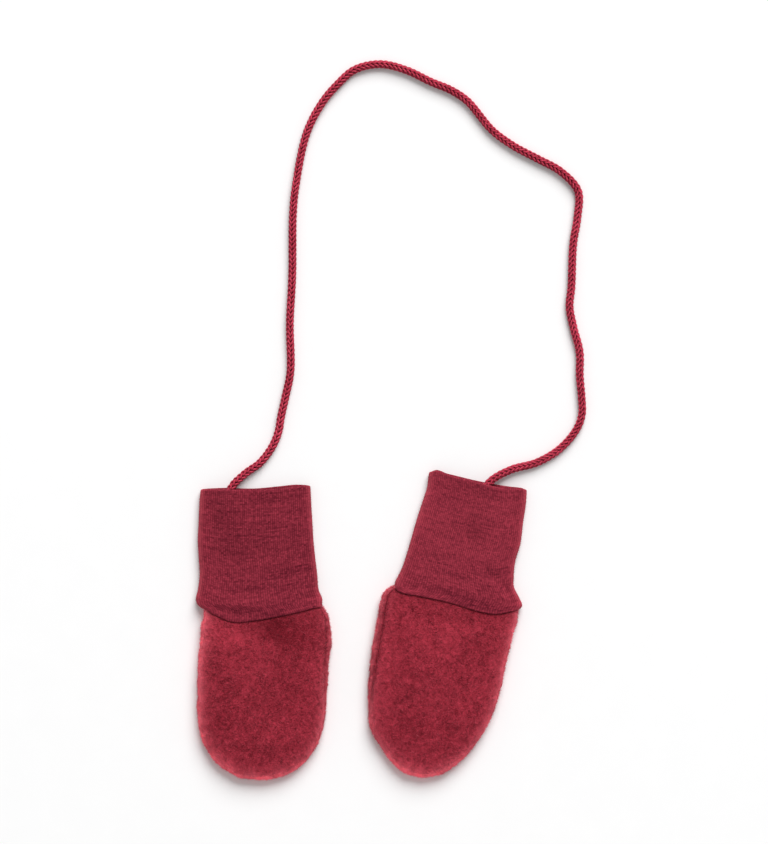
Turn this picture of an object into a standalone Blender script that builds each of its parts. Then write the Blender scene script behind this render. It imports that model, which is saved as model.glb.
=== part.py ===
"""A pair of thumbless baby mittens laid flat, joined by one knitted cord.

Each mitten is a bag of two fleece panels sewn to a doubled jersey cuff. Sizes are in millimetres.
A mitten is drawn in its own axes: across runs to its right, along runs from the seam between cuff
and fleece (0) down to the tip, so the cuff has negative values. Height is above the surface that
the mitten lies on.
"""

import math
from collections import namedtuple

import bmesh
import bpy
import numpy as np

MM = 0.001

# Cloth and cord
FLEECE_WALL = 2.6
CUFF_WALL = 2.0
CORD_DIAMETER = 4.0
SEAM_GAP = 0.3
CUFF_SEAM_GAP = 0.5

# Section of a mitten lying flat
WIDEST_SHARE = 0.44
CROWN_SHARE = 0.12
EDGE_SWELL = 0.3
PANEL_GROOVE = 0.48
PANEL_GROOVE_REACH = 1.3
CUFF_SEAM_DIP = 1.0
CUFF_SEAM_DIP_REACH = 2.2

# Hump of the front of a cuff over the cord
CORD_HUMP = 3.0
CORD_HUMP_REACH = 6.5
CORD_HUMP_LENGTH = 26.0

# Mesh steps
SIDE_STEPS = 9
TIP_STEPS = 16
FRONT_STEPS = 12
BACK_STEPS = 11
CUFF_ROWS = 14
CUFF_SIDE_STEPS = 9
CORD_POINTS = 72
CURVE_SAMPLES = 4000
MERGE_DISTANCE = 0.01

# How strongly the steps crowd together near an edge or a seam (1 is even)
SIDE_CROWDING = 1.25
SECTION_CROWDING = 1.6
CUFF_CROWDING = 1.5

Side = namedtuple("Side", "along left right")
Depth = namedtuple("Depth", "along middle radius")
Line = namedtuple("Line", "across front back")
Roll = namedtuple("Roll", "along left right")
Fold = namedtuple("Fold", "across along turn length width rise")
Tip = namedtuple("Tip", "start across end roundness")
Mitten = namedtuple("Mitten", "name centre tilt sides depths tip mouth seam rolls folds cord_at")

# Side: how far each side lies from the mitten's axis
# Depth: height at the middle, and radius of the rounded sides
# Line: along of a sewn or folded edge on the front and on the back, by share of the half width
# Roll: how far in from each side the seam between the panels lies on the front
# Fold: middle, direction, size and rise of one soft ridge, or of a trough where the rise is negative
# Tip: where the round end starts, its lowest point, and its exponent (2 is an ellipse)
LEFT = Mitten(
    name="left",
    centre=(-54.8, 7.0),
    tilt=0.0,
    sides=(
        Side(-70.0, -33.3, 26.8),
        Side(-60.0, -34.2, 27.3),
        Side(-50.0, -34.6, 27.9),
        Side(-40.0, -35.1, 28.5),
        Side(-30.0, -34.6, 29.5),
        Side(-20.0, -34.1, 30.7),
        Side(-12.0, -35.1, 31.5),
        Side(-7.0, -36.1, 33.4),
        Side(-4.0, -35.0, 33.5),
        Side(-1.6, -32.3, 35.0),
        Side(2.0, -32.2, 37.0),
        Side(8.0, -33.5, 38.0),
        Side(16.0, -34.1, 38.3),
        Side(30.0, -35.3, 37.0),
        Side(45.0, -35.7, 36.0),
        Side(58.0, -35.8, 35.4),
        Side(92.3, -35.8, 34.6),
    ),
    depths=(
        Depth(-70.0, 6.4, 3.0),
        Depth(-50.0, 6.8, 3.0),
        Depth(-20.0, 6.9, 3.0),
        Depth(-5.0, 7.8, 3.4),
        Depth(8.0, 8.2, 4.0),
        Depth(25.0, 8.7, 4.4),
        Depth(60.0, 8.8, 4.4),
        Depth(92.0, 8.2, 4.4),
    ),
    tip=Tip(start=52.0, across=-1.2, end=92.4, roundness=2.2),
    mouth=(
        Line(-1.0, -67.6, -67.6),
        Line(-0.6, -67.5, -68.2),
        Line(0.0, -67.4, -67.9),
        Line(0.4, -67.9, -69.0),
        Line(0.75, -69.1, -70.0),
        Line(1.0, -69.6, -69.6),
    ),
    seam=(
        Line(-1.0, -1.6, -1.6),
        Line(-0.8, 1.6, -2.0),
        Line(-0.55, 5.0, -1.4),
        Line(-0.2, 4.7, -1.0),
        Line(0.2, 2.3, -1.6),
        Line(0.6, -0.4, -3.2),
        Line(0.85, -2.2, -3.6),
        Line(1.0, -3.2, -3.2),
    ),
    rolls=(
        Roll(-4.0, 0.0, 2.2),
        Roll(6.0, 0.0, 2.4),
        Roll(26.0, 0.0, 2.4),
        Roll(48.0, 0.0, 0.6),
        Roll(60.0, 0.0, 0.0),
        Roll(92.0, 0.0, 0.0),
    ),
    folds=(
        Fold(across=12.0, along=9.0, turn=-14.0, length=22.0, width=6.0, rise=-0.9),
        Fold(across=-14.0, along=14.0, turn=8.0, length=18.0, width=9.0, rise=0.8),
        Fold(across=22.0, along=28.0, turn=70.0, length=20.0, width=7.0, rise=0.6),
        Fold(across=-8.0, along=52.0, turn=20.0, length=24.0, width=10.0, rise=-0.7),
        Fold(across=14.0, along=68.0, turn=-20.0, length=20.0, width=9.0, rise=0.5),
        Fold(across=26.0, along=-8.0, turn=-24.0, length=9.0, width=2.6, rise=-0.8),
        Fold(across=-12.0, along=-3.0, turn=4.0, length=22.0, width=4.0, rise=0.8),
        Fold(across=4.0, along=-32.0, turn=-10.0, length=26.0, width=7.0, rise=-0.6),
    ),
    cord_at=-18.6,
)

RIGHT = Mitten(
    name="right",
    centre=(52.0, 12.5),
    tilt=11.0,
    sides=(
        Side(-70.0, -28.0, 26.0),
        Side(-66.0, -28.2, 26.7),
        Side(-60.0, -27.7, 27.4),
        Side(-50.0, -28.8, 27.8),
        Side(-38.0, -30.2, 28.6),
        Side(-28.0, -31.0, 27.7),
        Side(-20.0, -31.8, 28.4),
        Side(-14.0, -32.6, 29.8),
        Side(-9.0, -33.8, 33.6),
        Side(-5.0, -35.0, 36.0),
        Side(-2.6, -35.4, 35.2),
        Side(-0.4, -38.2, 34.9),
        Side(2.4, -40.4, 35.3),
        Side(8.0, -40.9, 35.0),
        Side(20.0, -40.8, 34.1),
        Side(40.0, -40.2, 33.5),
        Side(56.0, -38.4, 32.0),
        Side(66.0, -36.6, 29.2),
        Side(74.0, -34.9, 26.0),
        Side(82.0, -31.8, 23.8),
        Side(90.0, -28.2, 22.5),
        Side(98.4, -27.0, 22.5),
    ),
    depths=(
        Depth(-70.0, 6.4, 3.0),
        Depth(-50.0, 6.8, 3.0),
        Depth(-20.0, 6.9, 3.0),
        Depth(-5.0, 7.8, 3.4),
        Depth(8.0, 8.3, 4.0),
        Depth(25.0, 8.8, 4.4),
        Depth(60.0, 8.7, 4.4),
        Depth(98.0, 8.0, 4.4),
    ),
    tip=Tip(start=72.0, across=-4.0, end=98.4, roundness=2.0),
    mouth=(
        Line(-1.0, -67.6, -67.6),
        Line(-0.9, -69.0, -68.6),
        Line(-0.6, -68.1, -68.3),
        Line(0.0, -66.9, -67.6),
        Line(0.65, -66.9, -67.9),
        Line(0.9, -68.0, -68.2),
        Line(1.0, -67.4, -67.4),
    ),
    seam=(
        Line(-1.0, -2.6, -2.6),
        Line(-0.9, -0.5, -3.0),
        Line(-0.78, 0.6, -3.0),
        Line(-0.5, 0.7, -2.4),
        Line(0.0, 1.0, -2.0),
        Line(0.4, 2.5, -1.6),
        Line(0.65, 2.3, -2.2),
        Line(0.85, -0.2, -3.4),
        Line(1.0, -2.8, -2.8),
    ),
    rolls=(
        Roll(-4.0, 3.4, 0.0),
        Roll(12.0, 3.5, 0.0),
        Roll(30.0, 3.8, 0.0),
        Roll(44.0, 3.2, 0.0),
        Roll(58.0, 1.4, 0.0),
        Roll(70.0, 0.2, 0.0),
        Roll(98.0, 0.0, 0.0),
    ),
    folds=(
        Fold(across=2.0, along=10.0, turn=-6.0, length=24.0, width=6.0, rise=-0.8),
        Fold(across=-20.0, along=30.0, turn=75.0, length=24.0, width=7.0, rise=0.7),
        Fold(across=14.0, along=34.0, turn=82.0, length=22.0, width=8.0, rise=0.5),
        Fold(across=-6.0, along=58.0, turn=-16.0, length=22.0, width=10.0, rise=-0.7),
        Fold(across=4.0, along=80.0, turn=30.0, length=14.0, width=7.0, rise=0.5),
        Fold(across=22.0, along=-14.0, turn=38.0, length=13.0, width=3.4, rise=-1.0),
        Fold(across=26.0, along=-7.0, turn=30.0, length=9.0, width=3.0, rise=0.7),
        Fold(across=-4.0, along=-36.0, turn=8.0, length=24.0, width=7.0, rise=-0.5),
    ),
    cord_at=3.0,
)

# Cord: route from inside the left cuff to inside the right cuff, x, y and height of its middle
RoutePoint = namedtuple("RoutePoint", "x y z")
FLOOR = CORD_DIAMETER / 2 + 0.1
INSIDE = CUFF_WALL + SEAM_GAP + CORD_DIAMETER / 2 + 0.1
ROUTE = (
    RoutePoint(-74.4, 57.6, INSIDE),
    RoutePoint(-74.2, 66.8, INSIDE),
    RoutePoint(-71.0, 75.9, INSIDE),
    RoutePoint(-64.0, 82.9, 3.2),
    RoutePoint(-55.5, 89.2, FLOOR),
    RoutePoint(-48.8, 98.2, FLOOR),
    RoutePoint(-45.5, 106.4, FLOOR),
    RoutePoint(-44.3, 113.6, FLOOR),
    RoutePoint(-41.9, 124.6, FLOOR),
    RoutePoint(-39.0, 139.1, FLOOR),
    RoutePoint(-39.3, 166.0, FLOOR),
    RoutePoint(-38.0, 192.0, FLOOR),
    RoutePoint(-37.6, 226.0, FLOOR),
    RoutePoint(-36.0, 241.8, FLOOR),
    RoutePoint(-30.0, 270.4, FLOOR),
    RoutePoint(-21.7, 286.6, FLOOR),
    RoutePoint(-13.2, 296.8, FLOOR),
    RoutePoint(-3.6, 305.0, FLOOR),
    RoutePoint(10.6, 308.0, FLOOR),
    RoutePoint(24.9, 304.6, FLOOR),
    RoutePoint(38.2, 298.3, FLOOR),
    RoutePoint(49.4, 293.6, FLOOR),
    RoutePoint(58.2, 287.7, FLOOR),
    RoutePoint(72.0, 271.5, FLOOR),
    RoutePoint(84.0, 262.8, FLOOR),
    RoutePoint(96.8, 256.0, FLOOR),
    RoutePoint(109.5, 249.0, FLOOR),
    RoutePoint(119.0, 238.3, FLOOR),
    RoutePoint(118.7, 223.9, FLOOR),
    RoutePoint(116.4, 209.4, FLOOR),
    RoutePoint(115.4, 186.0, FLOOR),
    RoutePoint(114.4, 174.6, FLOOR),
    RoutePoint(116.6, 163.0, FLOOR),
    RoutePoint(119.9, 150.0, FLOOR),
    RoutePoint(120.0, 137.0, FLOOR),
    RoutePoint(121.0, 125.0, FLOOR),
    RoutePoint(121.2, 116.0, FLOOR),
    RoutePoint(118.5, 107.9, FLOOR),
    RoutePoint(109.0, 96.7, FLOOR),
    RoutePoint(96.3, 89.1, FLOOR),
    RoutePoint(82.4, 85.3, 2.9),
    RoutePoint(71.0, 79.0, INSIDE),
    RoutePoint(64.6, 70.0, INSIDE),
    RoutePoint(61.6, 59.6, INSIDE),
)

Finish = namedtuple("Finish", "colour roughness")
FLEECE = Finish(colour=(0.30, 0.022, 0.042), roughness=0.95)
JERSEY = Finish(colour=(0.24, 0.020, 0.036), roughness=0.9)
YARN = Finish(colour=(0.36, 0.034, 0.062), roughness=0.85)


def smooth(at, keys, values):
    """Read a smooth curve (Catmull-Rom slopes, cubic steps) through a short table."""
    keys = np.asarray(keys, float)
    values = np.asarray(values, float)
    slopes = np.gradient(values, keys)
    at = np.clip(np.asarray(at, float), keys[0], keys[-1])
    cell = np.clip(np.searchsorted(keys, at, side="right") - 1, 0, len(keys) - 2)
    span = keys[cell + 1] - keys[cell]
    t = (at - keys[cell]) / span
    start = values[cell] * (1 + 2 * t) * (1 - t) ** 2 + slopes[cell] * span * t * (1 - t) ** 2
    end = values[cell + 1] * t**2 * (3 - 2 * t) + slopes[cell + 1] * span * t**2 * (t - 1)
    return start + end


def column(rows, key, name, at):
    """Read one named column of a table at the given values of its key column."""
    keys = [getattr(row, key) for row in rows]
    values = [getattr(row, name) for row in rows]
    return smooth(at, keys, values)


def fold_rise(mitten, across, along):
    """Sum of the soft ridges and troughs at a point of the front."""
    rise = np.zeros(np.broadcast(across, along).shape)
    for fold in mitten.folds:
        turn = math.radians(fold.turn)
        dx = across - fold.across
        dy = along - fold.along
        lengthwise = (dx * math.cos(turn) + dy * math.sin(turn)) / fold.length
        widthwise = (dy * math.cos(turn) - dx * math.sin(turn)) / fold.width
        rise = rise + fold.rise * np.exp(-(lengthwise**2) - widthwise**2)
    return rise


def across_at(mitten, share, along):
    """Across of a point by its share of the half width, from -1 at the left side to 1 at the right."""
    left = column(mitten.sides, "along", "left", along)
    right = column(mitten.sides, "along", "right", along)
    return (left + right) / 2 + share * (right - left) / 2


def cloth_top(mitten, across, along, from_middle, from_seam):
    """Height of the front, which is highest at the middle and dips at the cuff's seam."""
    crown = 1 - CROWN_SHARE * from_middle**2
    dip = CUFF_SEAM_DIP * np.exp(-((from_seam / CUFF_SEAM_DIP_REACH) ** 2))
    return column(mitten.depths, "along", "middle", along) * crown - dip + fold_rise(mitten, across, along)


def perimeter_at_inset(inset, radius):
    """Length along a section from its widest line to a point that far in from the side."""
    on_arc = radius * np.arccos(np.clip(1 - inset / radius, 0, 1))
    return np.where(inset < radius, on_arc, radius * math.pi / 2 + inset - radius)


def section_inset(perimeter, radius):
    """How far in from the side a point of a section lies, by its length from the widest line."""
    quarter = radius * math.pi / 2
    length = np.abs(perimeter)
    turn = np.minimum(length, quarter) / radius
    return radius * (1 - np.cos(turn)) + np.maximum(length - quarter, 0)


def section_height(perimeter, radius, top):
    """Height of that point: positive lengths run over the front, negative ones under the back.

    The sides are elliptical arcs between the widest line and the front or the flat back.
    """
    lift = np.sin(np.minimum(np.abs(perimeter) / radius, math.pi / 2))
    widest = WIDEST_SHARE * top
    return np.where(perimeter > 0, widest + (top - widest) * lift, widest * (1 - lift))


def to_world(mitten, across, along, height):
    """Turn a mitten's own axes into metres in the part's frame."""
    tilt = math.radians(mitten.tilt)
    x = mitten.centre[0] + across * math.cos(tilt) - along * math.sin(tilt)
    y = mitten.centre[1] - across * math.sin(tilt) - along * math.cos(tilt)
    return np.stack([x, y, height], axis=-1) * MM


def add_surface(name, points, closed, thickness, material):
    """Make an open surface from a grid of points and give it the cloth's thickness."""
    rows, columns = points.shape[:2]
    mesh = bpy.data.meshes.new(name)
    bm = bmesh.new()
    grid = [[bm.verts.new(point) for point in row] for row in points]
    last = columns if closed else columns - 1
    for i in range(rows - 1):
        for j in range(last):
            k = (j + 1) % columns
            bm.faces.new((grid[i][j], grid[i + 1][j], grid[i + 1][k], grid[i][k]))
    bmesh.ops.remove_doubles(bm, verts=bm.verts, dist=MERGE_DISTANCE * MM)
    bm.to_mesh(mesh)
    bm.free()
    mesh.shade_smooth()
    mesh.materials.append(material)
    obj = bpy.data.objects.new(name, mesh)
    shell = obj.modifiers.new("Cloth thickness", "SOLIDIFY")
    shell.thickness = thickness * MM
    shell.offset = -1
    return obj


def outline_stations():
    """Places round the fleece, from the cuff down the left side, round the tip and back up.

    Each is the share of the way from the cuff seam to the tip's start, the side (-1 or 1), and
    the angle round the tip, which stays at its end on the straight sides.
    """
    shares = np.linspace(0, 1, SIDE_STEPS + 1) ** SIDE_CROWDING
    turns = np.linspace(0, math.pi, TIP_STEPS + 1)
    share = np.concatenate([shares, np.ones(TIP_STEPS - 1), shares[::-1]])
    turn = np.concatenate([np.zeros(SIDE_STEPS + 1), turns[1:-1], np.full(SIDE_STEPS + 1, math.pi)])
    side = np.where(turn < math.pi / 2, -1.0, 1.0)
    return share[:, None], side[:, None], turn[:, None]


def fleece_edge(mitten, face, share, side, turn):
    """Across and along of the outline: the straight sides, then a superellipse round the tip."""
    tip = mitten.tip
    power = 2 / tip.roundness
    seam = column(mitten.seam, "across", face, side)
    on_side = seam + share * (tip.start - seam)
    on_tip = tip.start + (tip.end - tip.start) * np.abs(np.sin(turn)) ** power
    along = np.where(share < 1, on_side, on_tip)
    across = tip.across + (across_at(mitten, side, along) - tip.across) * np.abs(np.cos(turn)) ** power
    return across, along


def fleece_middle(mitten, face, share):
    """Across and along of the middle line, which ends where the round tip starts."""
    seam = column(mitten.seam, "across", face, 0.0)
    along = seam + share * (mitten.tip.start - seam)
    return across_at(mitten, 0.0, along), along


def fleece_grid(mitten, face):
    """Outer points of one fleece panel: a section carried round the mitten's outline.

    Each station's section runs from the sewn edge in to the middle line, or round the tip to the
    middle line's end.
    """
    share, side, turn = outline_stations()
    edge_across, edge_along = fleece_edge(mitten, face, share, side, turn)
    middle_across, middle_along = fleece_middle(mitten, face, share)
    fan = share == 1
    run = np.hypot(middle_across - edge_across, np.where(fan, middle_along - edge_along, 0.0))
    radius = column(mitten.depths, "along", "radius", edge_along)
    full = perimeter_at_inset(run, radius)
    left_roll = column(mitten.rolls, "along", "left", edge_along)
    right_roll = column(mitten.rolls, "along", "right", edge_along)
    sewn = perimeter_at_inset(np.where(side < 0, left_roll, right_roll), radius)
    if face == "front":
        start = sewn + SEAM_GAP / 2
        end = full
        steps = FRONT_STEPS
    else:
        start = sewn - SEAM_GAP / 2
        end = -full
        steps = BACK_STEPS
    way_in = np.linspace(0, 1, steps + 1)[None] ** SECTION_CROWDING
    perimeter = start + (end - start) * way_in

    groove = PANEL_GROOVE * np.exp(-(((perimeter - sewn) / PANEL_GROOVE_REACH) ** 2))
    turned = np.minimum(np.abs(perimeter) / radius, math.pi / 2)
    inset = section_inset(perimeter, radius) + (groove - EDGE_SWELL) * np.cos(turned)
    inward = inset / run
    share_across = side * (1 - inward)
    on_front = column(mitten.seam, "across", "front", share_across)
    seam = np.where(perimeter > 0, on_front, column(mitten.seam, "across", "back", share_across))
    on_side = seam + share * (mitten.tip.start - seam) + CUFF_SEAM_GAP / 2 * (1 - share)
    along = np.where(fan, edge_along + (middle_along - edge_along) * inward, on_side)
    on_fan = edge_across + (middle_across - edge_across) * inward
    across = np.where(fan, on_fan, across_at(mitten, share_across, along))
    top = cloth_top(mitten, across, along, 1 - inward, np.where(fan, mitten.tip.start, along - seam))
    height = section_height(perimeter, radius, top)
    height = height - groove * np.sin(turned) * (perimeter > 0)
    points = to_world(mitten, across, along, height)
    return points if face == "front" else points[:, ::-1]


def cuff_ring():
    """Places round a cuff: side, face (1 front, -1 back) and share of the way in from the side."""
    steps = np.linspace(0, 1, CUFF_SIDE_STEPS + 1) ** CUFF_CROWDING
    share = np.concatenate([steps, steps[-2::-1], steps[1:], steps[-2:0:-1]])
    half = 2 * CUFF_SIDE_STEPS
    place = np.arange(2 * half)
    side = np.where((place < CUFF_SIDE_STEPS) | (place >= 3 * CUFF_SIDE_STEPS), -1.0, 1.0)
    face = np.where(place <= half, 1.0, -1.0)
    return share[None], side[None], face[None]


def cuff_grid(mitten):
    """Outer points of one cuff: rows from the mouth to the seam, each a closed flat section."""
    share, side, face = cuff_ring()
    down = 1 - (1 - np.linspace(0, 1, CUFF_ROWS + 1)[:, None]) ** CUFF_CROWDING

    def line(rows, across):
        on_front = column(rows, "across", "front", across)
        return np.where(face > 0, on_front, column(rows, "across", "back", across))

    side_mouth = line(mitten.mouth, side)
    side_along = side_mouth + down * (line(mitten.seam, side) - side_mouth)
    half = (across_at(mitten, 1.0, side_along) - across_at(mitten, -1.0, side_along)) / 2
    radius = column(mitten.depths, "along", "radius", side_along)
    perimeter = share * perimeter_at_inset(half, radius)
    across_share = side * (1 - section_inset(perimeter, radius) / half)

    mouth = line(mitten.mouth, across_share)
    seam = line(mitten.seam, across_share)
    along = mouth + down * (seam - CUFF_SEAM_GAP / 2 - mouth)
    across = across_at(mitten, across_share, along)
    top = cloth_top(mitten, across, along, across_share, along - seam)
    into_cuff = (along - mouth) / CORD_HUMP_LENGTH
    from_cord = (across - mitten.cord_at) / CORD_HUMP_REACH
    top = top + CORD_HUMP * np.exp(-(from_cord**2) - into_cuff**4)
    return to_world(mitten, across, along, section_height(face * perimeter, radius, top))


def cord_points():
    """Even points on the smooth curve through the cord's route."""
    route = np.array(ROUTE, float)
    chords = np.linalg.norm(np.diff(route, axis=0), axis=1)
    knots = np.concatenate([[0], np.cumsum(np.sqrt(chords))])
    fine = np.linspace(0, knots[-1], CURVE_SAMPLES)
    curve = np.stack([smooth(fine, knots, route[:, axis]) for axis in range(3)], axis=1)
    lengths = np.concatenate([[0], np.cumsum(np.linalg.norm(np.diff(curve, axis=0), axis=1))])
    even = np.linspace(0, lengths[-1], CORD_POINTS)
    return np.stack([np.interp(even, lengths, curve[:, axis]) for axis in range(3)], axis=1) * MM


def add_cord(material):
    """Make the cord: a round tube along its route, closed at both ends."""
    points = cord_points()
    curve = bpy.data.curves.new("cord", "CURVE")
    curve.dimensions = "3D"
    curve.bevel_depth = CORD_DIAMETER / 2 * MM
    curve.bevel_resolution = 2
    curve.render_resolution_u = 0
    curve.use_fill_caps = True
    spline = curve.splines.new("POLY")
    spline.points.add(len(points) - 1)
    for point, place in zip(spline.points, points):
        point.co = (*place, 1)
    curve.materials.append(material)
    return bpy.data.objects.new("cord", curve)


def add_material(name, finish):
    """Make a plain cloth material."""
    material = bpy.data.materials.new(name)
    material.use_nodes = True
    shader = material.node_tree.nodes["Principled BSDF"]
    shader.inputs["Base Color"].default_value = (*finish.colour, 1)
    shader.inputs["Roughness"].default_value = finish.roughness
    shader.inputs["Metallic"].default_value = 0
    material.diffuse_color = (*finish.colour, 1)
    return material


def build():
    """Build both mittens and the cord in one collection."""
    for obj in list(bpy.data.objects):
        bpy.data.objects.remove(obj)
    collection = bpy.data.collections.new("pair_of_mittens")
    bpy.context.scene.collection.children.link(collection)
    pieces = []
    for mitten in (LEFT, RIGHT):
        for face in ("front", "back"):
            name = f"{mitten.name}_fleece_{face}"
            material = add_material(name, FLEECE)
            pieces.append(add_surface(name, fleece_grid(mitten, face), False, FLEECE_WALL, material))
        name = f"{mitten.name}_cuff"
        material = add_material(name, JERSEY)
        pieces.append(add_surface(name, cuff_grid(mitten), True, CUFF_WALL, material))
    pieces.append(add_cord(add_material("cord", YARN)))
    for piece in pieces:
        collection.objects.link(piece)


build()
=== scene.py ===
"""A pair of brushed fleece baby mittens on a knitted cord, laid flat on a pale floor.

Sizes are in millimetres until a mesh is made. A mitten is drawn in its own axes: across runs to
its right, along runs from the seam between cuff and fleece (0) down to the tip, so the cuff has
negative values, and height is above the floor.
"""

import itertools
import math
from collections import namedtuple

import bpy
import numpy as np
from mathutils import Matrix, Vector


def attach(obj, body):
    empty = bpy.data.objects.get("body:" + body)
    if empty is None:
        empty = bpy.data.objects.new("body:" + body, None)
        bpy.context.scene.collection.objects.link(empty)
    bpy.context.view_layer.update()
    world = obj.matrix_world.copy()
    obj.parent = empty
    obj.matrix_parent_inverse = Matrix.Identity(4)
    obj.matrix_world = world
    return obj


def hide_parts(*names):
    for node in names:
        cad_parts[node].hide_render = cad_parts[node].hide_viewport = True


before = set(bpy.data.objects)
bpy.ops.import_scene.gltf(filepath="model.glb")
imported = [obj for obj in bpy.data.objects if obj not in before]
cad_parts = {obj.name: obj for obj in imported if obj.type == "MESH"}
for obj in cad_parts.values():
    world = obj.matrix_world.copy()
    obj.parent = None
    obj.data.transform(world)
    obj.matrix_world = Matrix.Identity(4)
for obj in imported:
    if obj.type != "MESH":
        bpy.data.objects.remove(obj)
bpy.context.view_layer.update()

bl_info = {
    "name": "Pair of mittens",
    "version": (1, 0, 0),
    "blender": (4, 5, 0),
    "location": "View3D > Sidebar > Mittens",
    "description": "Makes a pair of fleece mittens with jersey cuffs on a knitted cord",
    "category": "Add Mesh",
}

MM = 0.001

# Cloth
FLEECE_WALL = 2.4
CUFF_WALL = 2.0
SEAM_GAP = 0.24

# Section of a mitten lying flat
WIDEST_SHARE = 0.44
CROWN_SHARE = 0.12
EDGE_INSET = 0.55
PANEL_GROOVE = 0.4
PANEL_GROOVE_REACH = 1.2
FLEECE_UNDER = 1.7
FLEECE_TUCK = 1.25
FLEECE_TUCK_REACH = 1.8
TIP_FAN = 0.35
STITCH_PITCH = 3.0
STITCH_PULL = 0.3
# Painted rim highlight and painted glow: share of the narrow band, strength on the back panels, reach of
# the narrow and of the wide band
RIM_SHARE = 0.75
BACK_RIM = 0.85
RIM_REACH = 2.3
GLOW_REACH = 5.6
# Painted shade below the cuff's lip and in the creases of rolled side seams: how far below the lip, the
# roll of a full crease, and its reach
LIP_SHADE_REACH = 3.0
CREASE_ROLL = 3.0
CREASE_REACH = 1.3
ROW_CROWDING = 1.12

# Hump of the front of a cuff over the cord
CORD_HUMP = 3.0
CORD_HUMP_REACH = 6.5
CORD_HUMP_LENGTH = 26.0

# Edges and inside of a cuff: its lower lip rolls over the fleece, and its mouth is a fold
LIP_RISE = 0.8
LIP_REACH = 3.2
LIP_RADIUS = 0.75
MOUTH_RADIUS = 1.0
EDGE_STEPS = 7
INNER_ROWS = 16
INNER_END = 0.97

# Outside of a cuff: middle share of the grooves' depth, and how far in the painted rim highlight reaches
GROOVE_SHARE = 0.75
CUFF_RIM_REACH = 2.0

# Noise: the width of its bumps in millimetres (for tufts, in tuft sizes), its strength and its seed
Noise = namedtuple("Noise", "size strength seed")
TUFTS = (Noise(1.0, 0.55, 11), Noise(0.45, 0.35, 12), Noise(0.22, 0.2, 13))
EDGE_LUMPS = (Noise(5.5, 0.35, 14),)
RIM_PATCHES = (Noise(4.0, 0.45, 15),)
FIBRE_SWIRLS = (Noise(6.0, 4.0, 21), Noise(1.6, 2.6, 22))
FIBRE_LOCKS = (Noise(1.3, 0.22, 23), Noise(3.0, 0.15, 24))
GROOVE_PATCHES = (Noise(5.0, 0.5, 41),)

Side = namedtuple("Side", "along left right")
Depth = namedtuple("Depth", "along middle radius")
Line = namedtuple("Line", "across front back")
Roll = namedtuple("Roll", "along left right")
Fold = namedtuple("Fold", "across along turn length width rise")
Tip = namedtuple("Tip", "start across end roundness")
Patch = namedtuple("Patch", "across along turn length width tone")
Mitten = namedtuple(
    "Mitten", "name centre tilt sides depths tip mouth seam rolls folds patches rims cord_at"
)
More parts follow.
